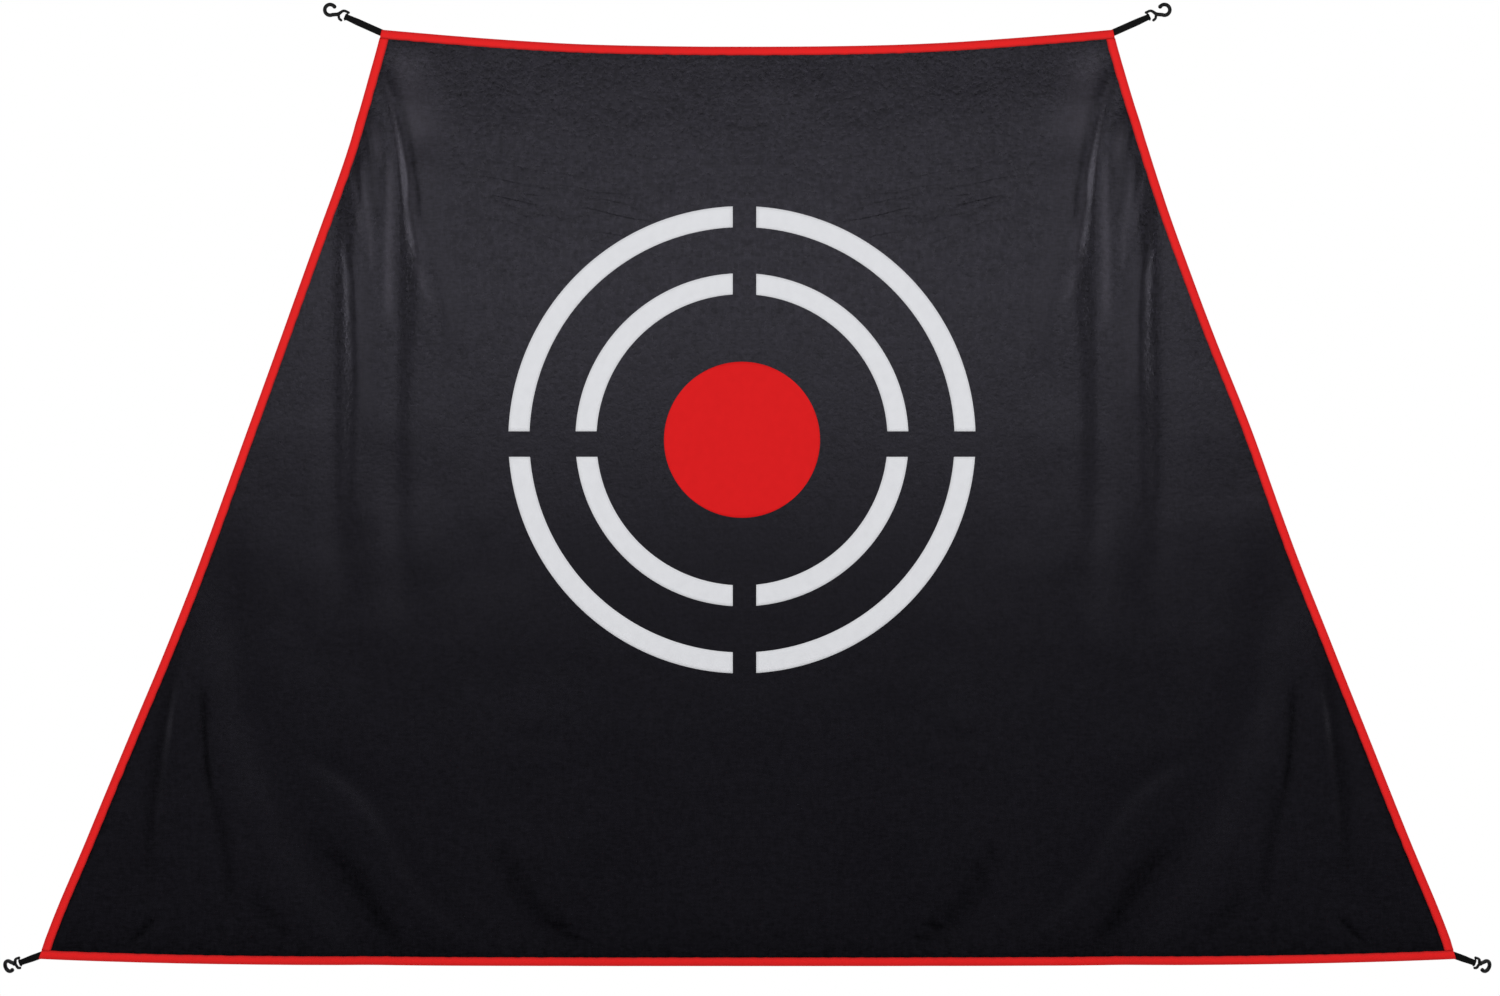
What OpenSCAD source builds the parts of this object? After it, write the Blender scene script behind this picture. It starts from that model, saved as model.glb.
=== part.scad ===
// Target cloth of a golf chipping net: a trapezoid sheet, bound in folded
// tape, with a printed target and a webbing strap with a moulded hook at each
// corner. The sheet faces -Y, Z is up, and X runs along the top edge.
// The origin is the middle of the line between the throats of the top hooks,
// which is the line that the sheet hangs from. All sizes are in millimetres.

/* [Cloth] */
// Width between the tips of the top corners
top_w = 1462; // [1100:1:1900]
// Width between the tips of the bottom corners
bottom_w = 2833; // [2200:1:3400]
// Height from the bottom corners to the top corners
drop = 1856; // [1500:1:2300]
// Sag of the top edge at its middle
top_sag = 34; // [5:1:60]
// Belly of the bottom edge below its corners
bottom_sag = 11; // [0:1:40]
// Inward draw of each side edge
side_draw = 27; // [0:1:60]
// Thickness of the cloth
cloth_t = 0.8; // [0.5:0.1:1.5]

/* [Folds] */
// Depth of the hanging folds below the top corners
curtain_depth = 6.8; // [0:0.1:16]
// Width of one hanging fold
curtain_pitch = 139; // [120:1:200]
// Distance of the inner hanging hollow from the centre line
curtain_x = 718; // [680:1:760]
// Width over which the hanging folds rise at their two sides
curtain_fade = 120; // [60:5:180]
// Depth of the slanting hollow above each bottom corner
slant_depth = 8; // [0:0.1:16]
// Half width of the slanting hollow
slant_w = 50; // [40:1:100]
// Distance of the slanting hollow from the centre line where it starts
slant_x = 1041; // [980:1:1100]
// How far the slanting hollow runs inwards down to the bottom edge
slant_reach = 296; // [100:2:400]
// Flat margin that stays round the printed target
flat_margin = 40; // [10:5:80]
// Distance outside the flat margin at which the folds start
calm_margin = 90; // [40:5:140]
// Distance over which they then reach their full depth
calm_fade = 140; // [80:5:200]

/* [Binding] */
// Width of the folded tape that shows on each face
binding_w = 16.5; // [10:0.5:30]
// Thickness of the tape
tape_t = 0.9; // [0.5:0.1:1.5]

/* [Target] */
// Height of the target's centre below the top corners
target_drop = 819; // [700:1:940]
// Sideways place of the target's centre
target_x = -10.6; // [-40:0.1:40]
// Outer radius of the outer ring
outer_ring_r = 467; // [420:1:500]
// Outer radius of the inner ring
inner_ring_r = 333; // [280:1:360]
// Width of each ring's band
ring_band = 42; // [20:1:60]
// Radius of the solid disc in the middle
bullseye_r = 156; // [80:1:200]
// Width of the upright gap through the rings
upright_gap = 47; // [20:1:80]
// Width of the level gap through the rings
level_gap = 51; // [20:1:80]
// Sideways place of the upright gap, from the target's centre
upright_gap_x = 5; // [-10:0.5:10]
// Height of the level gap, from the target's centre
level_gap_z = -8.6; // [-10:0.1:10]
// Thickness of the printed film
print_t = 0.3; // [0.2:0.1:0.6]

/* [Straps] */
// Width of the webbing
strap_w = 14; // [12:0.5:20]
// Thickness of one ply of the webbing
web_t = 1.3; // [0.8:0.1:1.8]
// Length of each top strap, from its seam to the hook's bar
top_strap = 74; // [50:1:120]
// Rise of each top strap above the horizontal
top_angle = 24; // [10:1:40]
// Length of each bottom strap, from its seam to the hook's bar
bottom_strap = 36; // [32:1:90]
// Fall of each bottom strap below the horizontal
bottom_angle = 20; // [10:1:40]
// Length of the webbing tail sewn behind each corner
tail_len = 32; // [20:1:60]
// Distance of a strap's centre line from the tip of its corner
strap_inset = 4.7; // [3:0.1:7]
// Distance of the seam's flexing line outside the corner
seam_out = 2.2; // [2:0.1:4]
// Length over which the two plies open round the hook's bar
loop_taper = 16; // [10:1:24]

/* [Hooks] */
// Radius of the throat, which is that of the pole it grips
throat_r = 7; // [5:0.25:9]
// Width of the hook's section
hook_rod = 6.2; // [4.5:0.1:8]
// Thickness of the hook from front to back
hook_t = 7; // [5:0.25:9]
// Bevel along the hook's moulded edges
hook_bevel = 1.2; // [0.4:0.1:1.6]
// Distance from the eye's bar to the throat's centre
hook_reach = 34.8; // [32:0.1:42]
// Radius of the eye's bar, which the webbing goes round
bar_r = 1.7; // [1.4:0.1:2.6]
// Radius of each arm of the eye
arm_r = 1.5; // [1.2:0.1:2.2]
// Turn of the bottom hooks to the rear, about their bars
bottom_lean = 33; // [0:1:60]

/* [Clearances] */
// Gap between the webbing and the bar inside it
bar_gap = 0.3; // [0.2:0.05:0.6]
// Gap between the webbing's edges and the eye's arms
side_gap = 0.4; // [0.3:0.1:1]
// Gap between a strap's rounded end and its sewn tail
seam_gap = 0.3; // [0.2:0.05:0.6]

/* [Hidden] */
$fn = 48;

cloth_color = "#2b2a2f";
binding_color = "#da1f20";
ring_color = "#dbdce0";
bullseye_color = "#d51d1f";
webbing_color = "#0d0d0e";
hook_color = "#121214";

// Grid of the cloth. Its first and last column and row lie under the binding.
// Half of the width has the inner columns, and each side a set of outer ones.
inner_columns = 6;
outer_columns = 13;
inner_share = 0.5;
columns = inner_columns + 2 * outer_columns + 2;
rows = 16;
// Shares of the height between which the hanging folds stand, and their fade
curtain_span = [0.04, 0.66, 0.2];
// Share of the height where the slanting hollow turns inwards
slant_from = 0.575;
// Shares of the height between which it stands, and its fade
slant_span = [0.5, 1.1, 0.16];

// Heights: the strap and hook at each top corner reach up to z = 0
chain_len = seam_out + top_strap + hook_reach;
top_z = strap_inset * cos(top_angle) - chain_len * sin(top_angle);
bottom_z = top_z - drop;
target_z = top_z - target_drop;

// Depths: the straps lie at y = 0, behind the binding
cloth_y = -web_t - tape_t - cloth_t / 2;
slant = atan((bottom_w - top_w) / 2 / drop);
hem_side = binding_w / cos(slant);
flat_r = outer_ring_r + flat_margin;

// Hook: angles of the stem and the lip round the throat, and the eye's places
stem_at = 216;
lip_at = 116;
lip_extra = 0.3;
lip_back = 0.05;
bar_stub = 0.6;
shoulder_r = bar_r + 0.2;
arm_z = strap_w / 2 + side_gap + shoulder_r;
arm_t = hook_t - 1.4;
crotch_x = hook_reach / 2 - 0.9;

// ---- Cloth surface ----

function smooth(low, high, v) =
    let (s = min(1, max(0, (v - low) / (high - low)))) s * s * (3 - 2 * s);
function window(low, high, fade, v) =
    smooth(low, low + fade, v) * (1 - smooth(high - fade, high, v));

// Half width of the sheet at share t of its height, from the top
function half_w(t) =
    top_w / 2 + (bottom_w - top_w) / 2 * t - side_draw * sin(180 * pow(t, 0.75));
// How far a point hangs below the straight lines between the corners
function sag(u, t) =
    top_sag * (1 - u * u) * (1 - t) + bottom_sag * (1 - pow(abs(u), 3)) * t;

// Share of a fold that stands between two shares of the height, at s below
// the top corners
function stands(span, s) =
    window(drop * span[0], drop * span[1], drop * span[2], s);

// The hanging folds: a cosine across, at distance a from the centre line
function hanging(a, s) =
    cos(360 * (a - curtain_x) / curtain_pitch)
    * window(curtain_x - 0.85 * curtain_pitch, curtain_x + 1.5 * curtain_pitch,
        curtain_fade, a)
    * stands(curtain_span, s);

// The slanting hollow: its middle line is a parabola towards the centre
function slanting(a, s) =
    let (
        share = (s / drop - slant_from) / (1 - slant_from),
        line = slant_x - slant_reach * share * abs(share),
        lean = 2 * slant_reach * abs(share) / ((1 - slant_from) * drop),
        d = (a - line) / sqrt(1 + lean * lean)
    )
    exp(-pow(d / slant_w, 2)) * stands(slant_span, s);

// Depth of the folds at x and at height z
function fold(x, z) =
    let (
        a = abs(x),
        s = top_z - z,
        away = norm([x - target_x, z - target_z]),
        calm = smooth(flat_r + calm_margin, flat_r + calm_margin + calm_fade, away)
    )
    calm * (curtain_depth * hanging(a, s) + slant_depth * slanting(a, s));

function on_side(i) = i == 0 || i == columns;
// Share of the half width at interior column k, from -1 to 1
function spread(k) =
    k < outer_columns ? -1 + (1 - inner_share) * k / outer_columns
    : k <= outer_columns + inner_columns
        ? inner_share * (2 * (k - outer_columns) / inner_columns - 1)
        : inner_share
            + (1 - inner_share) * (k - outer_columns - inner_columns) / outer_columns;
function column_share(i) = on_side(i) ? sign(i - columns / 2) : spread(i - 1);
function row_share(j) =
    let (hem = binding_w / drop)
    j == 0 ? 0 : j == rows ? 1 : hem + (1 - 2 * hem) * (j - 1) / (rows - 2);
function grid_x(i, j) =
    column_share(i) * (half_w(row_share(j)) - (on_side(i) ? 0 : hem_side));
function grid_z(i, j) =
    let (t = row_share(j))
    top_z - drop * t - sag(grid_x(i, j) / half_w(t), t);
function kept_in(v, last) = min(last - 1, max(1, v));
// The folds run on unchanged under the binding, so it lies flat on the sheet
function grid_y(i, j) =
    let (ci = kept_in(i, columns), cj = kept_in(j, rows))
    cloth_y + fold(grid_x(ci, cj), grid_z(ci, cj));
function grid_point(i, j) = [grid_x(i, j), grid_y(i, j), grid_z(i, j)];

function front(i, j) = j * (columns + 1) + i;
function back(i, j) = front(i, j) + (columns + 1) * (rows + 1);

// Two triangles between four points, split along one or the other diagonal
function pane(a, b, c, d, turned = false) =
    turned ? [[a, b, d], [b, c, d]] : [[a, b, c], [a, c, d]];
// The split follows the folds, which hang straight where the columns fan out
function turned(i, j) =
    i >= columns / 2 && i < columns - 1 && j > 0 && j < rows - 1;

module target_cloth() {
    centre = [for (j = [0:rows], i = [0:columns]) grid_point(i, j)];
    half = [0, cloth_t / 2, 0];
    points = concat([for (p = centre) p - half], [for (p = centre) p + half]);
    faces = concat(
        [for (j = [0:rows - 1], i = [0:columns - 1])
            each pane(front(i, j), front(i + 1, j), front(i + 1, j + 1),
                front(i, j + 1), turned(i, j))],
        [for (j = [0:rows - 1], i = [0:columns - 1])
            each pane(back(i, j), back(i, j + 1), back(i + 1, j + 1),
                back(i + 1, j), turned(i, j))],
        [for (i = [0:columns - 1])
            each pane(front(i + 1, 0), front(i, 0), back(i, 0), back(i + 1, 0))],
        [for (i = [0:columns - 1])
            each pane(front(i, rows), front(i + 1, rows), back(i + 1, rows),
                back(i, rows))],
        [for (j = [0:rows - 1])
            each pane(front(0, j), front(0, j + 1), back(0, j + 1), back(0, j))],
        [for (j = [0:rows - 1])
            each pane(front(columns, j + 1), front(columns, j), back(columns, j),
                back(columns, j + 1))]
    );
    color(cloth_color) polyhedron(points, faces, convexity = 6);
}

// ---- Folded tape ----

// Section of the tape at one station: a U round the sheet's edge, from the
// hem line in front, round the fold, to the hem line behind
function tape_section(edge, hem) =
    let (
        away = [edge.x - hem.x, 0, edge.z - hem.z],
        nose = edge + away * tape_t / norm(away),
        deep = [0, cloth_t / 2, 0],
        skin = [0, cloth_t / 2 + tape_t, 0]
    )
    [
        hem - deep, edge - deep, edge + deep, hem + deep,
        hem + skin, edge + skin, nose + deep, nose - deep, edge - skin, hem - skin
    ];
section_size = 10;
section_cap = [
    [9, 0, 1], [9, 1, 8], [2, 3, 4], [2, 4, 5],
    [1, 7, 8], [1, 6, 7], [1, 2, 6], [2, 5, 6]
];

// A length of tape through stations, each of them [edge point, hem point]. Its
// two inner walls are split as the sheet's own faces are, so they touch all over.
module tape(stations, upright = false) {
    last = len(stations) - 1;
    n = section_size;
    back_wall = 2;
    points = [for (s = stations) each tape_section(s[0], s[1])];
    walls = [for (k = [0:last - 1], m = [0:n - 1])
        let (a = k * n + m, b = k * n + (m + 1) % n)
        each pane(a, b, b + n, a + n, (m == back_wall) != upright)];
    start = [for (f = section_cap) [f[2], f[1], f[0]]];
    end = [for (f = section_cap) [for (v = f) v + last * n]];
    color(binding_color) polyhedron(points, concat(walls, start, end), convexity = 6);
}

module top_binding() {
    tape([for (i = [columns:-1:0]) [grid_point(i, 0), grid_point(i, 1)]]);
}

module bottom_binding() {
    tape([for (i = [0:columns]) [grid_point(i, rows), grid_point(i, rows - 1)]]);
}

module left_binding() {
    tape([for (j = [1:rows - 1]) [grid_point(0, j), grid_point(1, j)]], true);
}

module right_binding() {
    tape([for (j = [rows - 1:-1:1])
        [grid_point(columns, j), grid_point(columns - 1, j)]], true);
}

// ---- Printed target ----

// Places a flat outline on the sheet's front face, as a film
module film() {
    translate([target_x, cloth_y - cloth_t / 2, target_z])
        rotate([90, 0, 0])
            linear_extrude(print_t) children();
}

module ring_outline(outer) {
    past = 2 * outer;
    difference() {
        circle(outer);
        circle(outer - ring_band);
        translate([upright_gap_x - upright_gap / 2, -past])
            square([upright_gap, 2 * past]);
        translate([-past, level_gap_z - level_gap / 2])
            square([2 * past, level_gap]);
    }
}

module outer_ring_print() {
    color(ring_color) film() ring_outline(outer_ring_r);
}

module inner_ring_print() {
    color(ring_color) film() ring_outline(inner_ring_r);
}

module bullseye_print() {
    color(bullseye_color) film() circle(bullseye_r);
}

// ---- Corners ----

// Puts a piece at a left corner: +X runs out along the strap from its seam,
// Y stays as it is and +Z points to the strap's lower side
module at_top_left() {
    translate([-top_w / 2, 0, top_z])
        rotate([0, 180 + top_angle, 0])
            translate([seam_out, 0, strap_inset]) children();
}

module at_bottom_left() {
    translate([-bottom_w / 2, 0, bottom_z])
        rotate([0, 180 - bottom_angle, 0])
            translate([seam_out, 0, -strap_inset]) children();
}

module mirrored() {
    mirror([1, 0, 0]) children();
}

// The webbing's two ends, sewn flat behind the corner
module tail() {
    near = web_t + seam_gap;
    color(webbing_color)
        translate([-near - tail_len, -web_t, -strap_w / 2])
            cube([tail_len, 2 * web_t, strap_w]);
}

// Points along an arc round [x, 0], from one angle to another
function arc(x, r, from, to, steps) =
    [for (k = [0:steps]) let (a = from + (to - from) * k / steps)
        [x + r * cos(a), r * sin(a)]];

// The free webbing: two plies from a rounded end, opened round the bar
module strap(length) {
    inner = bar_r + bar_gap;
    outer = inner + web_t;
    open = length - loop_taper;
    wrap = 90 + asin((outer - web_t) / loop_taper);
    color(webbing_color)
        translate([0, 0, -strap_w / 2])
            linear_extrude(strap_w)
                difference() {
                    polygon(concat(
                        arc(0, web_t, 270, 90, 8),
                        [[open, web_t]],
                        arc(length, outer, wrap, -wrap, 20),
                        [[open, -web_t]]
                    ));
                    polygon([[open + web_t, 0],
                        [length, inner * 0.9], [length, -inner * 0.9]]);
                    translate([length, 0]) circle(inner);
                }
}

// ---- Hook ----

// Bevelled disc about Y at [x, z], for hulls along the hook's limbs
module stud(x, z, r, t) {
    translate([x, 0, z]) rotate([90, 0, 0]) {
        cylinder(r = r, h = t - 2 * hook_bevel, center = true, $fn = 24);
        cylinder(r = r - hook_bevel * 0.7, h = t, center = true, $fn = 24);
    }
}

// One limb of the hook between two studs, each [x, z, radius, thickness]
module limb(a, b) {
    hull() {
        stud(a[0], a[1], a[2], a[3]);
        stud(b[0], b[1], b[2], b[3]);
    }
}

// The throat's ring, from the stem round to the lip. Angles are counted from
// the hook's far end towards the mouth.
module throat() {
    low = throat_r;
    high = throat_r + hook_rod;
    h = hook_t / 2;
    c = hook_bevel;
    rotate([0, 0, stem_at])
        rotate_extrude(angle = 360 - stem_at + lip_at)
            polygon([[low, c - h], [low + c, -h], [high - c, -h], [high, c - h],
                [high, h - c], [high - c, h], [low + c, h], [low, h - c]]);
}

// The rounded lip at the mouth, a little fuller than the ring
module lip() {
    r = hook_rod / 2 + lip_extra;
    h = hook_t / 2;
    c = hook_bevel;
    rotate([0, 0, lip_at])
        translate([throat_r + r + lip_back, 0, 0])
            rotate_extrude()
                polygon([[0, -h], [r - c, -h], [r, c - h],
                    [r, h - c], [r - c, h], [0, h]]);
}

// The eye's bar, with a free end on the side of the gap
module bar(gap) {
    free_end = strap_w / 2 + side_gap + bar_stub;
    translate([0, 0, gap > 0 ? -arm_z : -free_end])
        cylinder(r = bar_r, h = arm_z + free_end);
}

// The hook with its bar at the origin and its mouth on the +Z side. The eye
// is open for the webbing on the side gap: 1 for +Z, -1 for -Z.
module hook_body(gap) {
    middle = throat_r + hook_rod / 2;
    limb_r = hook_rod / 2 - 0.1;
    root = [hook_reach + middle * cos(stem_at + 6), middle * sin(stem_at + 6),
        limb_r, hook_t];
    neck = [hook_reach - 2 * throat_r, -0.36 * middle, limb_r, hook_t];
    crotch = [crotch_x, -0.1 * middle, limb_r + 0.3, hook_t];
    elbow = [0.58 * crotch_x, -gap * (arm_z - 1), arm_r, arm_t];
    shoulder = [0, -gap * arm_z, shoulder_r, arm_t];
    knee = [0.7 * crotch_x, gap * (arm_z - 1.9), arm_r, arm_t];
    toe = [0.38 * crotch_x, gap * (arm_z - 0.1), arm_r, arm_t];
    color(hook_color) {
        translate([hook_reach, 0, 0]) rotate([90, 0, 0]) {
            throat();
            lip();
        }
        limb(root, neck);
        limb(neck, crotch);
        limb(crotch, elbow);
        limb(elbow, shoulder);
        limb(crotch, knee);
        limb(knee, toe);
        bar(gap);
    }
}

// The top hooks' mouths face up and their eyes open below
module top_hook() {
    translate([top_strap, 0, 0]) mirror([0, 0, 1]) hook_body(-1);
}

// The bottom hooks' mouths and eyes both open below, and lean to the rear
module bottom_hook() {
    translate([bottom_strap, 0, 0]) rotate([0, 0, bottom_lean]) hook_body(1);
}

target_cloth();
top_binding();
bottom_binding();
left_binding();
right_binding();
outer_ring_print();
inner_ring_print();
bullseye_print();
at_top_left() tail();  // top_left_strap_tail
mirrored() at_top_left() tail();  // top_right_strap_tail
at_bottom_left() tail();  // bottom_left_strap_tail
mirrored() at_bottom_left() tail();  // bottom_right_strap_tail
at_top_left() strap(top_strap);  // top_left_strap
mirrored() at_top_left() strap(top_strap);  // top_right_strap
at_bottom_left() strap(bottom_strap);  // bottom_left_strap
mirrored() at_bottom_left() strap(bottom_strap);  // bottom_right_strap
at_top_left() top_hook();  // top_left_hook
mirrored() at_top_left() top_hook();  // top_right_hook
at_bottom_left() bottom_hook();  // bottom_left_hook
mirrored() at_bottom_left() bottom_hook();  // bottom_right_hook
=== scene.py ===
"""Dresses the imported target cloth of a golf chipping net.

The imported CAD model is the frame. Every class below makes one sub-assembly
from named sizes in millimetres, most of them those of the part's source, and
hands Blender its meshes in metres. The sheet hangs in the XZ plane and faces
-Y. The origin is the middle of the line between the throats of the top hooks.
"""

from __future__ import annotations

import logging
import math
from dataclasses import dataclass, field, replace
from enum import Enum

import bpy
import numpy as np
from numpy.typing import NDArray
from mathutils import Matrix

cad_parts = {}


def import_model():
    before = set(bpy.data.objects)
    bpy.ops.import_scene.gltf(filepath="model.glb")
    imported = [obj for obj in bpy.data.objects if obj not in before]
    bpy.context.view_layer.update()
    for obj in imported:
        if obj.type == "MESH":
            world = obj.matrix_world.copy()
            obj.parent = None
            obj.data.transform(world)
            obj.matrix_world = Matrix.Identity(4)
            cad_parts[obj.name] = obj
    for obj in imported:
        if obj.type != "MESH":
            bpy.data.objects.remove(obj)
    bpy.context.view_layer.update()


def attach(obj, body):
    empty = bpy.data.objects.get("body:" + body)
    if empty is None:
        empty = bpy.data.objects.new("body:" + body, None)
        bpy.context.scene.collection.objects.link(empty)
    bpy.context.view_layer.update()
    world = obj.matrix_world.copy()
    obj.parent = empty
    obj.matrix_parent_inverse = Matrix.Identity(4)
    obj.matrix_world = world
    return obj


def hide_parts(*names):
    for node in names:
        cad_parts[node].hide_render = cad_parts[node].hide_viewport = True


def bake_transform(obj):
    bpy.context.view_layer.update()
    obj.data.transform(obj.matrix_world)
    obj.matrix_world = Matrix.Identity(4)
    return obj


Array = NDArray[np.float64]
Faces = list[list[int]]
Colour = tuple[float, float, float, float]
Triple = tuple[float, float, float]
Piece = bpy.types.Object
Material = bpy.types.Material
Tree = bpy.types.NodeTree
Node = bpy.types.Node
Socket = bpy.types.NodeSocket
Outputs = bpy.types.NodeOutputs
Inputs = dict[str | int, object]
MM = 0.001
WHITE: Colour = (1.0, 1.0, 1.0, 1.0)
LOG = logging.getLogger("chipping_net")


# ---------------------------------------------------------------- mesh tools


def smooth(low: float, high: float, v: Array | float) -> Array:
    """Smooth step of v: 0 below low, 1 above high, 3s^2 - 2s^3 between."""
    s = np.clip((np.asarray(v, float) - low) / (high - low), 0.0, 1.0)
    return s * s * (3.0 - 2.0 * s)


def window(low: float, high: float, fade: float, v: Array) -> Array:
    """Rises over fade from low and falls over fade before high."""
    return smooth(low, low + fade, v) * (1.0 - smooth(high - fade, high, v))


def bell(distance: Array, width: Array | float) -> Array:
    """Bell curve: exp(-(distance / width)^2)."""
    return np.exp(-((distance / width) ** 2))


def unit(v: Array) -> Array:
    """Vectors along the last axis, each brought to length one."""
    return v / np.maximum(np.linalg.norm(v, axis=-1, keepdims=True), 1e-12)


def travel(points: Array) -> Array:
    """Length run along a path at each of its points."""
    return np.concatenate([[0.0], np.cumsum(np.linalg.norm(np.diff(points, axis=0), axis=1))])


def quads(rows: int, cols: int, start: int = 0, wrap: bool = False) -> NDArray[np.int64]:
    """Faces of a grid of points, row by row.

    Args:
        rows: Number of rows of points.
        cols: Number of points in a row.
        start: Index of the grid's first point.
        wrap: Whether each row closes on itself.

    Returns:
        One row of four indices per face.
    """
    j, i = np.meshgrid(
        np.arange(rows - 1), np.arange(cols if wrap else cols - 1), indexing="ij"
    )
    k = (i + 1) % cols
    return start + np.stack(
        [j * cols + i, (j + 1) * cols + i, (j + 1) * cols + k, j * cols + k], axis=-1
    ).reshape(-1, 4)


@dataclass
class Shell:
    """Points and faces of one closed skin, with a place across it per point."""

    points: Array
    faces: Faces
    uv: Array

    def outward(self) -> Shell:
        """Turns every face round if the skin's signed volume is negative.

        The volume is a sixth of the sum, over the triangles that fan each
        face, of a . (b x c).

        Returns:
            This shell, with its faces pointing outwards.
        """
        total = 0.0
        by_size: dict[int, Faces] = {}
        for face in self.faces:
            by_size.setdefault(len(face), []).append(face)
        middle = self.points.mean(axis=0)
        for size, group in by_size.items():
            corner = self.points[np.array(group)] - middle
            for k in range(1, size - 1):
                cross = np.cross(corner[:, k], corner[:, k + 1])
                total += float((corner[:, 0] * cross).sum())
        if total < 0:
            self.faces = [face[::-1] for face in self.faces]
        return self

    def joined(self, *others: Shell) -> Shell:
        """This shell and others as one mesh of several skins.

        Args:
            *others: The shells to add.

        Returns:
            The new shell.
        """
        parts = [self, *others]
        faces: Faces = []
        shift = 0
        for part in parts:
            faces += [[v + shift for v in face] for face in part.faces]
            shift += len(part.points)
        return Shell(
            np.vstack([part.points for part in parts]), faces,
            np.vstack([part.uv for part in parts]),
        )


def slab(front: Array, back: Array, uv: Array) -> Shell:
    """Closed sheet between two matching grids of points.

    Args:
        front: Grid of points, rows x columns x 3, of the face towards -Y.
        back: The same grid on the other face.
        uv: Flat place of each grid point, rows x columns x 2.

    Returns:
        The closed skin: both faces and the wall round them.
    """
    rows, cols = front.shape[:2]
    n = rows * cols
    index = np.arange(n).reshape(rows, cols)
    rim = np.concatenate(
        [index[:-1, 0], index[-1, :-1], index[:0:-1, -1], index[0, :0:-1]]
    )
    after = np.roll(rim, -1)
    wall = np.stack([rim, rim + n, after + n, after], axis=-1)
    faces = np.vstack([quads(rows, cols), quads(rows, cols, n)[:, ::-1], wall])
    points = np.vstack([front.reshape(-1, 3), back.reshape(-1, 3)])
    both = np.vstack([uv.reshape(-1, 2)] * 2)
    return Shell(points, faces.tolist(), both).outward()


def loft(sections: Array, along: Array, across: Array) -> Shell:
    """Closed skin through matching closed sections, with a flat cap at each end.

    Args:
        sections: Stations x section points x 3.
        along: Length run at each station.
        across: Place round the section of each of its points.

    Returns:
        The closed skin.
    """
    rows, cols = sections.shape[:2]
    faces = quads(rows, cols, wrap=True).tolist()
    faces.append(list(range(cols)))
    faces.append(list(range((rows - 1) * cols, rows * cols))[::-1])
    u, v = np.meshgrid(along, across, indexing="ij")
    uv = np.stack([u, v], axis=-1).reshape(-1, 2)
    return Shell(sections.reshape(-1, 3), faces, uv).outward()


# Rings of a rod's domed end, the angle of the first, and the width of the
# mould's seam as a share of half the thickness
DOME_RINGS = 5
DOME_TIP = 0.12
SEAM_SPREAD = 0.09


def rod(
    path: Array, half_across: Array, half_deep: Array, power: float = 2.0,
    seam: float = 0.0, sides: int = 28,
) -> Shell:
    """Rounded bar along a path, with domed ends. Its thickness lies along Y.

    The section is a superellipse: |a|^power + |b|^power = 1. Each end closes
    through rings whose size is the sine of an angle and whose reach is its
    cosine, as on a ball.

    Args:
        path: Points of the middle line.
        half_across: Half the bar's width at each point.
        half_deep: Half its thickness at each point.
        power: 2 for a round section, more for a squarer one.
        seam: Height of the mould's parting line at half thickness.
        sides: Points round a section.

    Returns:
        The closed skin.
    """
    deep = np.array([0.0, 1.0, 0.0])
    tangent = unit(np.gradient(path, axis=0))
    rise = np.linspace(DOME_TIP, math.pi / 2, DOME_RINGS + 1)[:-1]
    dome, reach = np.sin(rise), np.cos(rise)
    head = path[0] - tangent[0] * (half_across[0] * reach)[:, None]
    tail = path[-1] + tangent[-1] * (half_across[-1] * reach)[::-1, None]
    spine = np.vstack([head, path, tail])
    ways = np.pad(tangent, ((DOME_RINGS, DOME_RINGS), (0, 0)), mode="edge")
    size = np.concatenate([dome, np.ones(len(path)), dome[::-1]])
    wide = size * np.pad(half_across, DOME_RINGS, mode="edge")
    thick = size * np.pad(half_deep, DOME_RINGS, mode="edge")
    side = unit(np.cross(ways, deep))
    angle = np.linspace(0.0, math.tau, sides, endpoint=False)
    c, s = np.cos(angle), np.sin(angle)
    a = np.sign(c) * np.abs(c) ** (2.0 / power)
    b = np.sign(s) * np.abs(s) ** (2.0 / power)
    ridge = 1.0 + seam * bell(b, SEAM_SPREAD)
    sections = (
        spine[:, None]
        + side[:, None] * (wide[:, None] * a * ridge)[..., None]
        + deep * (thick[:, None] * b)[..., None]
    )
    return loft(sections, travel(spine), np.arange(sides) / sides)


def curve(points: Array, steps: int) -> Array:
    """Smooth path through points: a Catmull-Rom spline with even steps.

    Args:
        points: Points that the path passes.
        steps: Steps between one point and the next.

    Returns:
        The points of the path.
    """
    p = np.vstack([2 * points[0] - points[1], points, 2 * points[-1] - points[-2]])
    t = np.linspace(0.0, 1.0, steps, endpoint=False)[None, :, None]
    a, b, c, d = (p[k : len(p) - 3 + k][:, None] for k in range(4))
    body = 0.5 * (
        2 * b + (c - a) * t + (2 * a - 5 * b + 4 * c - d) * t**2
        + (3 * b - a - 3 * c + d) * t**3
    )
    return np.vstack([body.reshape(-1, points.shape[1]), points[-1:]])


# Rings of points between a stitch's tips, and points in a ring
STITCH_RINGS = 3
STITCH_SIDES = 6


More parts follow.
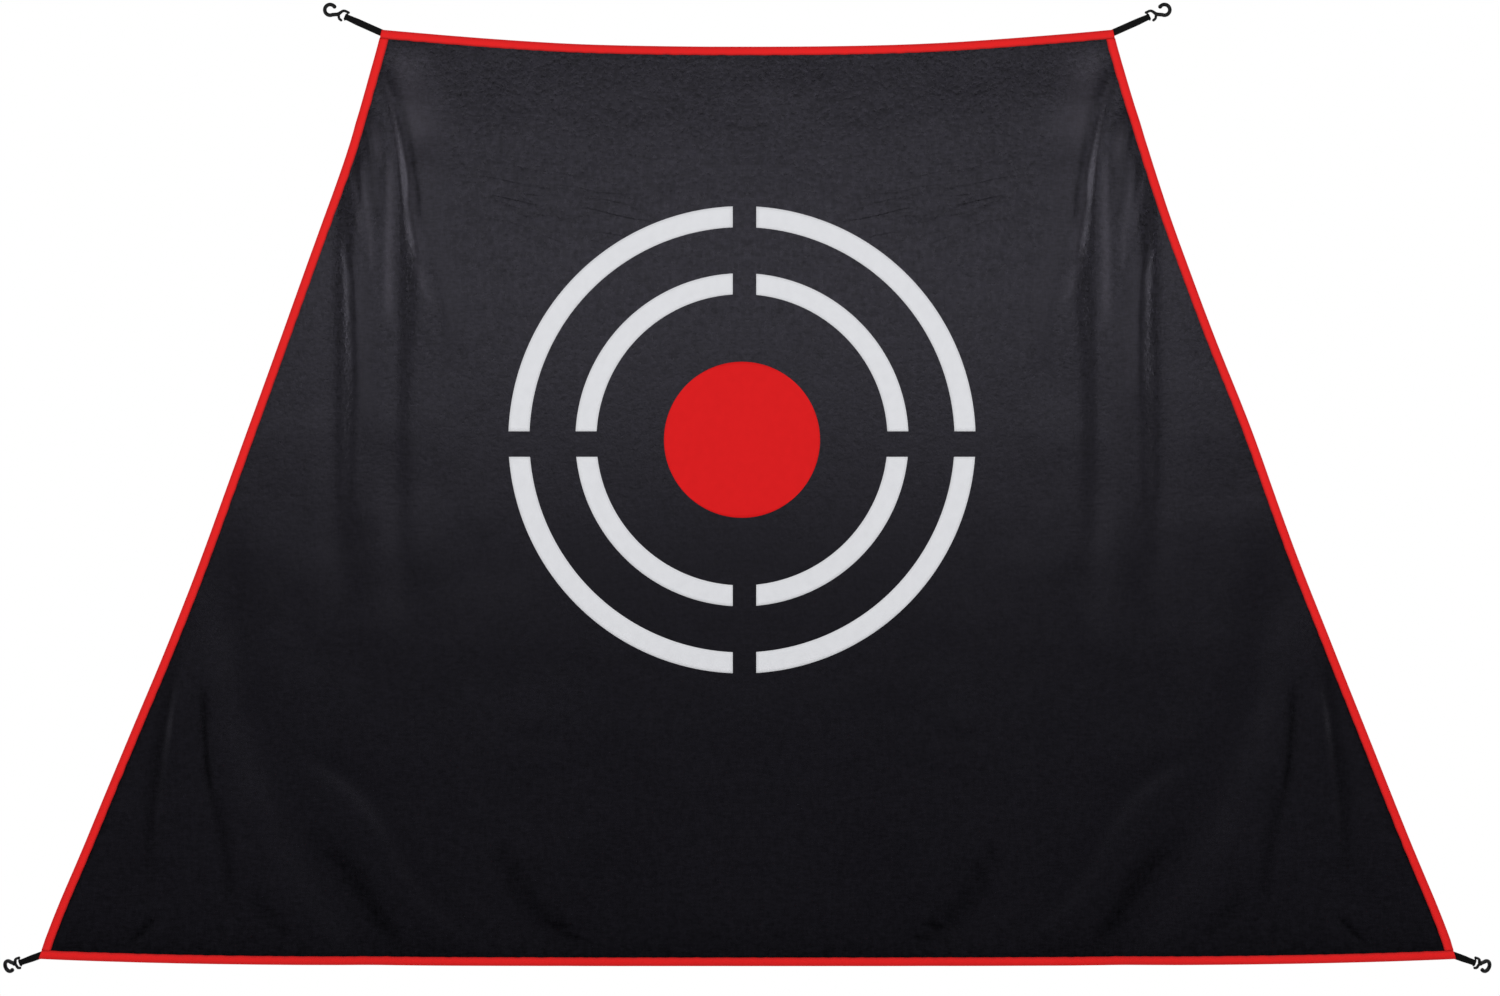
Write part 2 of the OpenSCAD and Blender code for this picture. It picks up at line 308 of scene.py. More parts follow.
def stitches(places: Array, along: Array, out: Array, size: Triple) -> Shell:
    """Row of thread stitches, each an ellipsoid of a few faces.

    Args:
        places: Middle of each stitch.
        along: Direction of each stitch.
        out: Direction away from the cloth, for each stitch.
        size: Half length, half width and half height of one stitch.

    Returns:
        All the stitches as one mesh.
    """
    lat = np.linspace(0.0, math.pi, STITCH_RINGS + 2)[1:-1]
    lon = np.linspace(0.0, math.tau, STITCH_SIDES, endpoint=False)
    la, lo = np.meshgrid(lat, lon, indexing="ij")
    ring = np.stack(
        [np.cos(la), np.sin(la) * np.cos(lo), np.sin(la) * np.sin(lo)], axis=-1
    ).reshape(-1, 3)
    one = np.vstack([ring, [[1.0, 0.0, 0.0], [-1.0, 0.0, 0.0]]]) * np.array(size)
    n, last, tip = STITCH_SIDES, (STITCH_RINGS - 1) * STITCH_SIDES, len(ring)
    body = quads(STITCH_RINGS, n, wrap=True).tolist()
    body += [[k, (k + 1) % n, tip] for k in range(n)]
    body += [[last + (k + 1) % n, last + k, tip + 1] for k in range(n)]
    along, out = unit(along), unit(out)
    frame = np.stack([along, np.cross(out, along), out], axis=1)
    points = places[:, None] + np.einsum("pk,nkc->npc", one, frame)
    shape = Shell(points[0], body, np.zeros((len(one), 2))).outward()
    starts = np.arange(len(places))[:, None] * len(one)
    faces: Faces = []
    for face in shape.faces:
        faces += (np.array(face)[None, :] + starts).tolist()
    return Shell(points.reshape(-1, 3), faces, np.zeros((len(places) * len(one), 2)))


def sewn_through(middle: Array, along: Array, lift: float, size: Triple) -> Shell:
    """The same row of stitches on the front and on the rear of a cloth.

    Args:
        middle: Middle of each stitch, in the cloth's middle.
        along: Direction of each stitch.
        lift: Distance from the cloth's middle to the thread's.
        size: Half length, half width and half height of one stitch.

    Returns:
        Both rows as one mesh.
    """
    rows = []
    for way in (-1.0, 1.0):
        out = np.broadcast_to(np.array([0.0, way, 0.0]), middle.shape)
        rows.append(stitches(middle + out * lift, along, out, size))
    return rows[0].joined(rows[1])


@dataclass
class Wardrobe:
    """Puts finished shells into the scene and keeps count of them."""

    made: list[Piece] = field(default_factory=list)

    def hang(
        self, name: str, shell: Shell, finish: Material, slot: str,
        body: str | None, stands_for: tuple[str, ...] = (),
    ) -> Piece:
        """Makes one piece of a shell given in millimetres.

        Args:
            name: The piece's name.
            shell: Its skin.
            finish: Its material.
            slot: The record's material slot that it belongs to; not used.
            body: The CAD body that it rides on, or None.
            stands_for: CAD nodes that it replaces.

        Returns:
            The new object.
        """
        mesh = bpy.data.meshes.new(name)
        mesh.from_pydata((shell.points * MM).tolist(), [], shell.faces)
        loops = np.zeros(len(mesh.loops), dtype=np.int32)
        mesh.loops.foreach_get("vertex_index", loops)
        layer = mesh.uv_layers.new(name="Flat")
        layer.data.foreach_set("uv", (shell.uv[loops] * MM).astype(np.float32).ravel())
        mesh.polygons.foreach_set("use_smooth", np.ones(len(mesh.polygons), dtype=bool))
        mesh.materials.append(finish)
        mesh.validate()
        mesh.update()
        piece = bpy.data.objects.new(name, mesh)
        bpy.context.scene.collection.objects.link(piece)
        if body is not None:
            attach(piece, body)
        if stands_for:
            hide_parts(*stands_for)
        self.made.append(piece)
        LOG.info("%s: %d faces", name, len(mesh.polygons))
        return piece

    @staticmethod
    def paint(piece: Piece, masks: dict[str, Array]) -> None:
        """Stores masks on a piece for its material to read.

        Args:
            piece: The piece.
            masks: One value per point of the mesh, by the mask's name.
        """
        for name, values in masks.items():
            layer = piece.data.attributes.new(name, "FLOAT", "POINT")
            layer.data.foreach_set("value", np.asarray(values, dtype=np.float32).ravel())


# ------------------------------------------------------------------ finishes


def linear(r: int, g: int, b: int) -> Colour:
    """A screen colour from 0 to 255 as linear light, with full cover.

    Each part c goes to c / 12.92 where it is low, and otherwise to
    ((c + 0.055) / 1.055)^2.4.

    Args:
        r: Red.
        g: Green.
        b: Blue.

    Returns:
        The colour as Blender takes it.
    """
    c = np.array([r, g, b]) / 255.0
    v = np.where(c <= 0.04045, c / 12.92, ((c + 0.055) / 1.055) ** 2.4)
    return float(v[0]), float(v[1]), float(v[2]), 1.0


class NodeBench:
    """Adds the nodes of one tree and joins them."""

    def __init__(self, tree: Tree) -> None:
        """Takes the tree that gets the nodes."""
        self.tree = tree

    def feed(self, node: Node, inputs: Inputs) -> None:
        """Sets or links the inputs of a node.

        Args:
            node: The node.
            inputs: Values, or sockets to link, by input name or number.
        """
        for key, value in inputs.items():
            if isinstance(value, Socket):
                self.tree.links.new(value, node.inputs[key])
            else:
                node.inputs[key].default_value = value

    def add(self, kind: str, inputs: Inputs | None = None, **settings: object) -> Node:
        """Adds one node, sets it up and joins its inputs.

        Args:
            kind: The node's Blender type, without the word ShaderNode.
            inputs: Values, or sockets to link, by input name or number.
            **settings: The node's own properties.

        Returns:
            The new node.
        """
        node = self.tree.nodes.new(f"ShaderNode{kind}")
        for key, value in settings.items():
            setattr(node, key, value)
        self.feed(node, inputs or {})
        return node

    def maths(self, operation: str, *values: object) -> Socket:
        """Adds a Math node and returns its result."""
        return self.add("Math", dict(enumerate(values)), operation=operation).outputs[0]

    def ranged(
        self, value: Socket, low: float, high: float, at_low: float = 0.0,
        at_high: float = 1.0, **settings: object,
    ) -> Socket:
        """Maps a value that runs from low to high to one from at_low to at_high."""
        limits = {"From Min": low, "From Max": high, "To Min": at_low, "To Max": at_high}
        return self.add("MapRange", {"Value": value, **limits}, **settings).outputs[0]

    def mix(self, factor: object, first: object, second: object) -> Socket:
        """Mixes two colours and returns the result."""
        inputs = {"Factor": factor, 6: first, 7: second}
        return self.add("Mix", inputs, data_type="RGBA", clamp_factor=True).outputs[2]

    def mask(self, name: str) -> Socket:
        """Reads a mask that is stored on the piece."""
        return self.add("Attribute", attribute_name=name).outputs["Fac"]

    def group(self, effect: Tree, inputs: Inputs) -> Outputs:
        """Places a shared effect and returns what it puts out."""
        return self.add("Group", inputs, node_tree=effect).outputs

    def in_plane(self, where: Socket) -> tuple[Socket, Socket]:
        """Coordinates (x, z, 0) in the sheet's plane, and the height z alone."""
        parts = self.add("SeparateXYZ", {0: where}).outputs
        return self.add("CombineXYZ", {0: parts[0], 1: parts[2]}).outputs[0], parts[2]


def new_group(
    name: str, inputs: dict[str, float | None], outputs: tuple[str, ...]
) -> tuple[NodeBench, Outputs, Node]:
    """Starts a shader node group with named sockets.

    Args:
        name: The group's name.
        inputs: Default of each input, or None for a vector.
        outputs: Names of the values that it puts out.

    Returns:
        The group's bench, what is given to it and its output node.
    """
    tree = bpy.data.node_groups.new(name, "ShaderNodeTree")
    for label, default in inputs.items():
        kind = "NodeSocketVector" if default is None else "NodeSocketFloat"
        socket = tree.interface.new_socket(label, in_out="INPUT", socket_type=kind)
        if default is not None:
            socket.default_value = default
    for label in outputs:
        tree.interface.new_socket(label, in_out="OUTPUT", socket_type="NodeSocketFloat")
    given = tree.nodes.new("NodeGroupInput").outputs
    return NodeBench(tree), given, tree.nodes.new("NodeGroupOutput")


class Effects:
    """Node groups that several finishes share."""

    line_tilt: float = 14.0
    patch_at: Triple = (0.36, 0.0, 0.40)
    patch_size: Triple = (0.27, 10.0, 0.10)

    def __init__(self) -> None:
        """Builds each group once."""
        self.weave = self._weave()
        self.crumple = self._crumple()
        self.scuff = self._scuff()

    @staticmethod
    def _weave() -> Tree:
        """Plain weave: the product of a sine across and a sine along.

        Returns:
            A group with the threads' height and the shade between them.
        """
        bench, given, out = new_group(
            "Plain weave", {"Vector": None, "Across": 0.001, "Along": 0.001},
            ("Height", "Gap"),
        )
        parts = bench.add("SeparateXYZ", {0: given["Vector"]}).outputs
        waves = []
        for axis, pitch in enumerate(("Across", "Along")):
            turns = bench.maths("DIVIDE", parts[axis], given[pitch])
            waves.append(bench.maths("SINE", bench.maths("MULTIPLY", turns, math.tau)))
        height = bench.maths("MULTIPLY", *waves)
        low = bench.maths("SUBTRACT", 1.0, bench.maths("ABSOLUTE", height))
        bench.feed(out, {
            "Height": bench.maths("MULTIPLY_ADD", height, 0.5, 0.5),
            "Gap": bench.maths("POWER", low, 4.0),
        })
        return bench.tree

    def _crumple(self) -> Tree:
        """Fine unevenness of packed cloth, the same on both halves.

        Its relief is plain noise. Its slubs are noise drawn out along the
        weft and along the warp. Its lines run where a long wide noise n
        passes its middle, (1 - |2n - 1|)^12, and only in an oval patch on
        each shoulder of the sheet.

        Returns:
            A group with the relief, a slow change of tone, the slubs and the
            fine lines.
        """
        bench, given, out = new_group(
            "Crumple", {"Vector": None, "Scale": 30.0}, ("Height", "Tone", "Slub", "Line")
        )
        halves = bench.add(
            "VectorMath", {0: given["Vector"]}, operation="ABSOLUTE"
        ).outputs[0]

        def drawn(long: Triple, tilt: float = 0.0, start: Triple = (0.0, 0.0, 0.0)) -> Socket:
            """Coordinates from a start, turned in the sheet's plane and drawn out."""
            turned = {"Location": start, "Scale": long, "Rotation": (0.0, math.radians(tilt), 0.0)}
            return bench.add(
                "Mapping", {"Vector": halves, **turned}, vector_type="TEXTURE"
            ).outputs[0]

        def noise(where: Socket, scale: object, detail: float, distortion: float = 0.0) -> Socket:
            """Noise over given coordinates."""
            form = {"Scale": scale, "Detail": detail, "Roughness": 0.55, "Distortion": distortion}
            return bench.add("TexNoise", {"Vector": where, **form}).outputs[0]

        weft = noise(drawn((2.5, 1.0, 0.85)), 190.0, 1.0)
        warp = noise(drawn((0.85, 1.0, 2.5)), 170.0, 1.0)
        wide = noise(drawn((6.0, 1.0, 1.0), self.line_tilt), 34.0, 1.0, 0.2)
        off = bench.maths("ABSOLUTE", bench.maths("MULTIPLY_ADD", wide, 2.0, -1.0))
        thin = bench.maths("POWER", bench.maths("SUBTRACT", 1.0, off), 12.0)
        away = bench.add(
            "VectorMath", {0: drawn(self.patch_size, self.line_tilt, self.patch_at)},
            operation="LENGTH",
        ).outputs["Value"]
        bench.feed(out, {
            "Height": noise(drawn((1.0, 1.0, 1.2)), given["Scale"], 3.0, 0.15),
            "Tone": noise(halves, 2.6, 3.0),
            "Slub": bench.maths(
                "MULTIPLY_ADD", weft, 0.6, bench.maths("MULTIPLY", warp, 0.4)
            ),
            "Line": bench.maths("MULTIPLY", thin, bench.ranged(away, 0.5, 1.0, 1.0, 0.0)),
        })
        return bench.tree

    @staticmethod
    def _scuff() -> Tree:
        """Handling marks: fine grain and a few rubbed patches.

        Returns:
            A group with the grain's height and the rubbed patches.
        """
        bench, given, out = new_group(
            "Scuff", {"Vector": None, "Scale": 900.0}, ("Grain", "Rubbed")
        )
        grain = {"Scale": given["Scale"], "Detail": 2.0, "Roughness": 0.6}
        patch = {"Scale": 140.0, "Detail": 4.0, "Roughness": 0.7}
        fine, coarse = (
            bench.add("TexNoise", {"Vector": given["Vector"], **form}).outputs[0]
            for form in (grain, patch)
        )
        bench.feed(out, {"Grain": fine, "Rubbed": bench.ranged(coarse, 0.52, 0.72)})
        return bench.tree


class Drawn(Enum):
    """What a pattern follows."""

    OBJECT = "Object"
    SURFACE = "UV"


@dataclass(frozen=True, kw_only=True)
class Finish:
    """What every finish has: two colours, its gloss and its nap."""

    name: str
    colour: Colour
    second: Colour
    roughness: float
    specular: float
    sheen: float = 0.0
    sheen_roughness: float = 0.5
    tint: Colour = WHITE
    drawn: Drawn = Drawn.OBJECT

    def material(self, effects: Effects) -> Material:
        """Builds the material: the plain gloss, then the finish's own pattern.

        Args:
            effects: The shared node groups.

        Returns:
            The finished material.
        """
        material = bpy.data.materials.new(self.name)
        material.use_nodes = True
        bench = NodeBench(material.node_tree)
        shader = material.node_tree.nodes["Principled BSDF"]
        bench.feed(shader, {
            "Roughness": self.roughness, "Specular IOR Level": self.specular,
            "Specular Tint": self.tint, "Sheen Weight": self.sheen,
            "Sheen Roughness": self.sheen_roughness,
        })
        where = bench.add("TexCoord").outputs[self.drawn.value]
        fed, height = self.pattern(bench, where, effects)
        fed["Normal"] = bench.add("Bump", {"Height": height, "Distance": 1.0}).outputs[0]
        bench.feed(shader, fed)
        return material

    def pattern(self, bench: NodeBench, where: Socket, effects: Effects) -> tuple[Inputs, Socket]:
        """Lays a finish's own pattern: what feeds its shader, and its height."""
        raise NotImplementedError


@dataclass(frozen=True, kw_only=True)
class WovenFinish(Finish):
    """A woven cloth, tape or webbing, or a thread."""

    across: float
    along: float
    relief: float
    gap_shade: float = 0.35
    # Creases in metres, the scale of their noise and how dull they turn the
    # cloth, then the fine lines' depth and painted shade, and the thick threads
    crumple: float = 0.0
    crumple_scale: float = 30.0
    crease_dull: float = 0.3
    line_depth: float = 0.00025
    line_shade: float = 0.6
    slub_shade: float = 6.0
    # Heights between which the cloth turns from nearly smooth to slack
    slack_from: float = -1.1
    slack_to: float = -0.5
    slack_least: float = 0.3
    darkest: Triple = (0.0004, 0.0004, 0.0005)
    # Colours under the masks of painted highlight on crests and of painted shade in each hollow
    # and beside the hems
    painted_shading: bool = False
    painted_highlight: Colour = linear(50, 48, 54)
    hollow: Colour = linear(1, 1, 2)

    def pattern(self, bench: NodeBench, where: Socket, effects: Effects) -> tuple[Inputs, Socket]:
        """Lays threads, tone, the piece's masks of painted shade and highlight and, on the cloth,
        creases.

        Args:
            bench: The material's bench.
            where: The coordinates that the pattern follows.
            effects: The shared node groups.

        Returns:
            What feeds the shader, by its input, and the height in metres.
        """
        flat = level = where
        if self.drawn is Drawn.OBJECT:
            flat, level = bench.in_plane(where)
        threads = bench.group(
            effects.weave, {"Vector": flat, "Across": self.across, "Along": self.along}
        )
        creases = bench.group(
            effects.crumple, {"Vector": where, "Scale": self.crumple_scale}
        )
        tone = bench.ranged(creases["Tone"], 0.3, 0.7)
        shade = bench.maths("MULTIPLY_ADD", threads["Gap"], self.gap_shade, tone)
        base = bench.mix(shade, self.colour, self.second)
        if self.painted_shading:
            # Painted highlight on the crests, then painted shade in each hollow and along the hems
            base = bench.mix(bench.mask("painted_highlight"), base, self.painted_highlight)
            base = bench.mix(bench.mask("shade"), base, self.hollow)
        height = bench.maths("MULTIPLY", threads["Height"], self.relief)
        if not self.crumple:
            return {"Base Color": base}, height
        return self._crumpled(bench, level, creases, base, height)

    def _crumpled(
        self, bench: NodeBench, level: Socket, creases: Outputs, base: Socket, height: Socket
    ) -> tuple[Inputs, Socket]:
        """Adds creases, fine lines and thick threads, most on the upper half.

        Args:
            bench: The material's bench.
            level: Height of each point.
            creases: What the crumple effect puts out.
            base: The colour so far.
            height: The relief so far.

        Returns:
            What feeds the shader, by its input, and the height in metres.
        """
        share = bench.ranged(level, self.slack_from, self.slack_to, self.slack_least, 1.0)
        slack = bench.maths(
            "MULTIPLY", share, bench.maths("SUBTRACT", 1.0, bench.mask("taut"))
        )
        crease = bench.maths(
            "MULTIPLY", bench.maths("SUBTRACT", creases["Height"], 0.5), slack
        )
        height = bench.maths("MULTIPLY_ADD", crease, self.crumple, height)
        line = bench.maths("MULTIPLY", creases["Line"], slack)
        height = bench.maths("MULTIPLY_ADD", line, -self.line_depth, height)
        dull = bench.maths("MULTIPLY_ADD", crease, self.crease_dull, self.roughness)
        slub = bench.maths("SUBTRACT", creases["Slub"], 0.5)
        slub = bench.maths("MULTIPLY", slub, bench.maths("MULTIPLY", share, self.slub_shade))
        # Painted shade along the fine crease lines
        slub = bench.maths("MULTIPLY_ADD", line, -self.line_shade, slub)
        grain = bench.add(
            "VectorMath", {0: self.colour[:3], "Scale": slub}, operation="SCALE"
        ).outputs[0]
        base = bench.add("VectorMath", {0: base, 1: grain}).outputs[0]
        base = bench.add(
            "VectorMath", {0: base, 1: self.darkest}, operation="MAXIMUM"
        ).outputs[0]
        return {"Base Color": base, "Roughness": dull}, height


@dataclass(frozen=True, kw_only=True)
class FilmFinish(Finish):
    """Printed film with the cloth's weave showing through."""

    roughness: float = 0.6
    specular: float = 0.1
    relief: float = 0.00003
    mottle_scale: float = 60.0

    def pattern(self, bench: NodeBench, where: Socket, effects: Effects) -> tuple[Inputs, Socket]:
        """Lays a faint mottle and the imprint of the weave.

        Args:
            bench: The material's bench.
            where: The coordinates that the pattern follows.
            effects: The shared node groups.

        Returns:
            What feeds the shader, by its input, and the height in metres.
        """
        threads = bench.group(effects.weave, {"Vector": bench.in_plane(where)[0]})
        creases = bench.group(effects.crumple, {"Vector": where, "Scale": self.mottle_scale})
        tone = bench.ranged(creases["Height"], 0.35, 0.75)
        base = bench.mix(tone, self.colour, self.second)
        return {"Base Color": base}, bench.maths("MULTIPLY", threads["Height"], self.relief)


@dataclass(frozen=True, kw_only=True)
class MouldedFinish(Finish):
    """Moulded plastic, a little rubbed. Its second colour is the rubbed one."""

    roughness: float = 0.4
    specular: float = 0.28
    relief: float = 0.00008
    rubbed_dull: float = 0.16

    def pattern(self, bench: NodeBench, where: Socket, effects: Effects) -> tuple[Inputs, Socket]:
        """Lays mould grain and rubbed patches.

        Args:
            bench: The material's bench.
            where: The coordinates that the pattern follows.
            effects: The shared node groups.

        Returns:
            What feeds the shader, by its input, and the height in metres.
        """
        marks = bench.group(effects.scuff, {"Vector": where})
        fed = {
            "Base Color": bench.mix(marks["Rubbed"], self.colour, self.second),
            "Roughness": bench.maths(
                "MULTIPLY_ADD", marks["Rubbed"], self.rubbed_dull, self.roughness
            ),
        }
        return fed, bench.maths("MULTIPLY", marks["Grain"], self.relief)


@dataclass
class Finishes:
    """Every finish of the part, built once."""

    effects: Effects = field(default_factory=Effects)

    def __post_init__(self) -> None:
        """Builds the materials."""
        red_thread = WovenFinish(
            name="Sewing thread", colour=linear(205, 24, 26), second=linear(180, 18, 20),
            roughness=0.5, specular=0.3, sheen=0.1, across=0.0004, along=0.0004,
            relief=0.00002,
        )
        black_thread = replace(
            red_thread, name="Black thread", colour=linear(12, 12, 13),
            second=linear(7, 7, 8), sheen=0.0,
        )
        self.cloth = WovenFinish(
            name="Close woven polyester", colour=linear(16, 15, 20),
            second=linear(19, 18, 23), roughness=0.31, specular=0.30,
            tint=(0.86, 0.83, 1.0, 1.0), across=0.0009, along=0.0009, relief=0.00002,
            crumple=0.0008, crumple_scale=130.0, painted_shading=True,
        ).material(self.effects)
        self.binding = WovenFinish(
            name="Ribbed tape", colour=linear(243, 24, 24), second=linear(231, 19, 19),
            roughness=0.6, specular=0.2, drawn=Drawn.SURFACE, across=0.0016,
            along=0.0034, relief=0.00012, painted_shading=True,
        ).material(self.effects)
        self.thread = red_thread.material(self.effects)
        self.ring = FilmFinish(
            name="Pale print", colour=linear(227, 228, 232), second=linear(223, 224, 228)
        ).material(self.effects)
        self.bullseye = FilmFinish(
            name="Red print", colour=linear(222, 22, 24), second=linear(218, 20, 22)
        ).material(self.effects)
        self.webbing = WovenFinish(
            name="Webbing", colour=linear(8, 8, 9), second=linear(3, 3, 4),
            roughness=0.65, specular=0.22, drawn=Drawn.SURFACE, across=0.0024,
            along=0.0018, relief=0.00035,
        ).material(self.effects)
        self.tack = black_thread.material(self.effects)
        self.plastic = MouldedFinish(
            name="Moulded plastic", colour=linear(7, 7, 8), second=linear(15, 15, 16)
        ).material(self.effects)


# ---------------------------------------------------------------- the sheet


# Length over which a fold's end fades, over the fold's own fade
FADE_SPAN = 1.6


class Run(Enum):
    """Which way a fold runs."""

    DOWN = "down"
    ACROSS = "across"


@dataclass(frozen=True)
class Crease:
    """One fold of each half of the sheet.

    Its crest follows the cubic through its points, each given as distance
    from the centre line and height. It stands out by height times
    exp(-(s / width)^2), where s is the distance across it and the width is
    its outer or its inner one. Past its ends the crest runs on straight and
    fades out. Its tone is painted shade in a tight hollow, up to 1, or a
    painted highlight along the crest, down to -1.
    """

    points: tuple[tuple[float, float], ...]
    height: float
    outer: float
    inner: float
    fade: float
    run: Run = Run.DOWN
    # Painted shade above 0, painted highlight below 0
    tone: float = 0.0

    def share(self, a: Array, z: Array) -> Array:
        """How much of the fold each point has, from 0 to 1.

        Args:
            a: Distance of each point from the centre line.
            z: Height of each point.

        Returns:
            The fold's share at each point.
        """
        across, up = np.array(self.points).T
        down = self.run is Run.DOWN
        run, off = (z, a) if down else (a, z)
        knots, values = (up, across) if down else (across, up)
        shift, spread = knots.mean(), max(np.ptp(knots), 1.0)
        fit = np.poly1d(np.polyfit((knots - shift) / spread, values, min(3, len(knots) - 1)))
        kept = np.clip(run, knots.min(), knots.max())
        along = (kept - shift) / spread
        lean = fit.deriv()(along) / spread
        s = (off - fit(along) - lean * (run - kept)) / np.sqrt(1.0 + lean**2)
        ends = window(
            knots.min() - self.fade, knots.max() + self.fade, self.fade * FADE_SPAN, run
        )
        return bell(s, np.where(s > 0, self.outer, self.inner)) * ends


CREASES: dict[str, Crease] = {
    # Hanging folds below each top corner
    "corner pleat": Crease(
        ((713, -160), (708, -180), (689, -248), (684, -296), (677, -344)), 6.2, 14, 60, 56
    ),
    "corner pleat's run": Crease(((679, -344), (668, -440), (654, -488)), 2.6, 11, 20, 50),
    "beside the pleat": Crease(
        ((686, -200), (674, -248), (662, -296), (654, -344), (648, -392)), 1.9, 8, 40, 50
    ),
    "beside its run": Crease(
        ((648, -392), (624, -488), (612, -536), (596, -660)), 2.0, 11, 30, 70
    ),
    "corner gleam": Crease(((694, -100), (680, -160), (662, -248)), 0.0, 22, 52, 50, tone=-0.9),
    "crest gleam": Crease(
        ((697, -276), (687, -326), (678, -382), (673, -432), (660, -502), (640, -570)),
        0.0, 10, 12, 60, tone=-0.55,
    ),
    "upper crest gleam": Crease(
        ((723, -144), (708, -220), (697, -290)), 0.0, 5, 5, 30, tone=-0.6
    ),
    "pleat hollow": Crease(
        ((710, -160), (692, -196), (673, -262), (664, -319), (655, -372)),
        0.0, 6, 6, 30, tone=0.55,
    ),
    "second pleat": Crease(
        ((764, -230), (760, -248), (752, -296), (746, -344), (740, -392)), 5.0, 11, 22, 50
    ),
    "second hollow": Crease(
        ((761, -248), (755, -290), (751, -347), (743, -406)), 0.0, 6, 6, 40, tone=0.6
    ),
    "second gleam": Crease(((752, -230), (739, -296)), 0.0, 9, 9, 30, tone=-0.6),
    "pleat gleam": Crease(
        ((718, -320), (717, -392), (718, -440), (718, -536), (718, -600)),
        0.0, 9, 9, 50, tone=-0.8,
    ),
    "beside the gleam": Crease(((729, -310), (727, -400)), 0.0, 4.5, 4.5, 30, tone=0.6),
    "third pleat": Crease(((776, -296), (768, -392)), 2.4, 9, 14, 40),
    "third gleam": Crease(((768, -350), (757, -432), (750, -500)), 0.0, 6, 6, 40, tone=-0.6),
    "fourth gleam": Crease(((790, -345), (773, -432)), 0.0, 6, 6, 40, tone=-0.5),
    "edge pleat": Crease(
        ((806, -480), (801, -528), (797, -576), (791, -672), (783, -776)), 1.25, 5, 24, 60
    ),
    "inside the edge pleat": Crease(
        ((788, -528), (780, -584), (773, -656), (769, -750), (763, -824)), 1.5, 8, 24, 60
    ),
    # Slanting folds above each bottom corner
    "slit": Crease(((1090, -1380), (1086, -1460), (1078, -1540)), -3.0, 8, 9, 50, tone=0.85),
    "slit's run": Crease(
        ((1074, -1560), (1042, -1700), (1034, -1780)), -2.6, 12, 15, 70, tone=0.4
    ),
    "beside the slit": Crease(
        ((1156, -1330), (1170, -1440), (1184, -1540), (1196, -1680)),
        -3.0, 16, 16, 90, tone=0.45,
    ),
    "edge slant": Crease(((1142, -1380), (1150, -1480)), 2.3, 16, 13, 80),
    "second slant": Crease(
        ((836, -1512), (762, -1570), (722, -1634), (632, -1776), (578, -1826)),
        -3.6, 20, 26, 60,
    ),
    "slant hollow": Crease(
        ((826, -1690), (770, -1764), (730, -1828), (700, -1866)), -2.0, 20, 24, 70, tone=0.6
    ),
    "first hollow": Crease(
        ((980, -1780), (950, -1820), (900, -1858)), -1.2, 22, 24, 60, tone=0.38
    ),
    "third slant": Crease(((524, -1780), (468, -1820), (400, -1870)), -3.0, 18, 22, 50),
    "third hollow": Crease(
        ((480, -1690), (434, -1778), (368, -1850)), -2.0, 22, 22, 60, tone=0.55
    ),
    "fan": Crease(((82, -1846), (60, -1870)), -2.0, 14, 14, 40, tone=0.5),
    "fan beside": Crease(((152, -1826), (168, -1850)), -2.0, 14, 14, 40, tone=0.4),
    "low corner": Crease(
        ((1186, -1822), (1232, -1862)), -2.0, 8, 8, 30, Run.ACROSS, tone=0.8
    ),
    "hem crease": Crease(((386, -1822), (322, -1868)), -1.0, 5, 5, 24, Run.ACROSS, tone=0.6),
    # Fine creases across the sheet
    "upper crease": Crease(
        ((500, -362), (420, -384), (330, -412)), -0.9, 7, 7, 30, Run.ACROSS
    ),
    "second upper crease": Crease(
        ((470, -438), (400, -454), (310, -472)), -0.7, 7, 7, 30, Run.ACROSS
    ),
    "near the rings": Crease(((258, -380), (180, -408)), 0.9, 7, 7, 30, Run.ACROSS),
    "lower crease": Crease(((450, -1462), (386, -1444)), -2.0, 8, 10, 30, Run.ACROSS),
    "lower crease end": Crease(((396, -1470), (370, -1540)), -2.0, 8, 8, 30),
}


@dataclass(frozen=True)
class Swell:
    """A soft swell along an edge: reach times exp(-((s - middle) / width)^2)."""

    reach: float
    middle: float
    width: float

    def at(self, s: Array) -> Array:
        """How far it moves the edge at each share s of it."""
        return self.reach * bell(s - self.middle, self.width)


# Of the left and the right edge, outwards, by share of the height
SIDE_SWELLS: dict[float, tuple[Swell, ...]] = {
    -1.0: (Swell(-5.2, 0.134, 0.067), Swell(-6.8, 0.625, 0.145), Swell(2.8, 0.95, 0.05)),
    1.0: (
        Swell(-2.2, 0.167, 0.086), Swell(7.0, 0.431, 0.09), Swell(3.4, 0.72, 0.26),
        Swell(3.2, 0.95, 0.05),
    ),
}


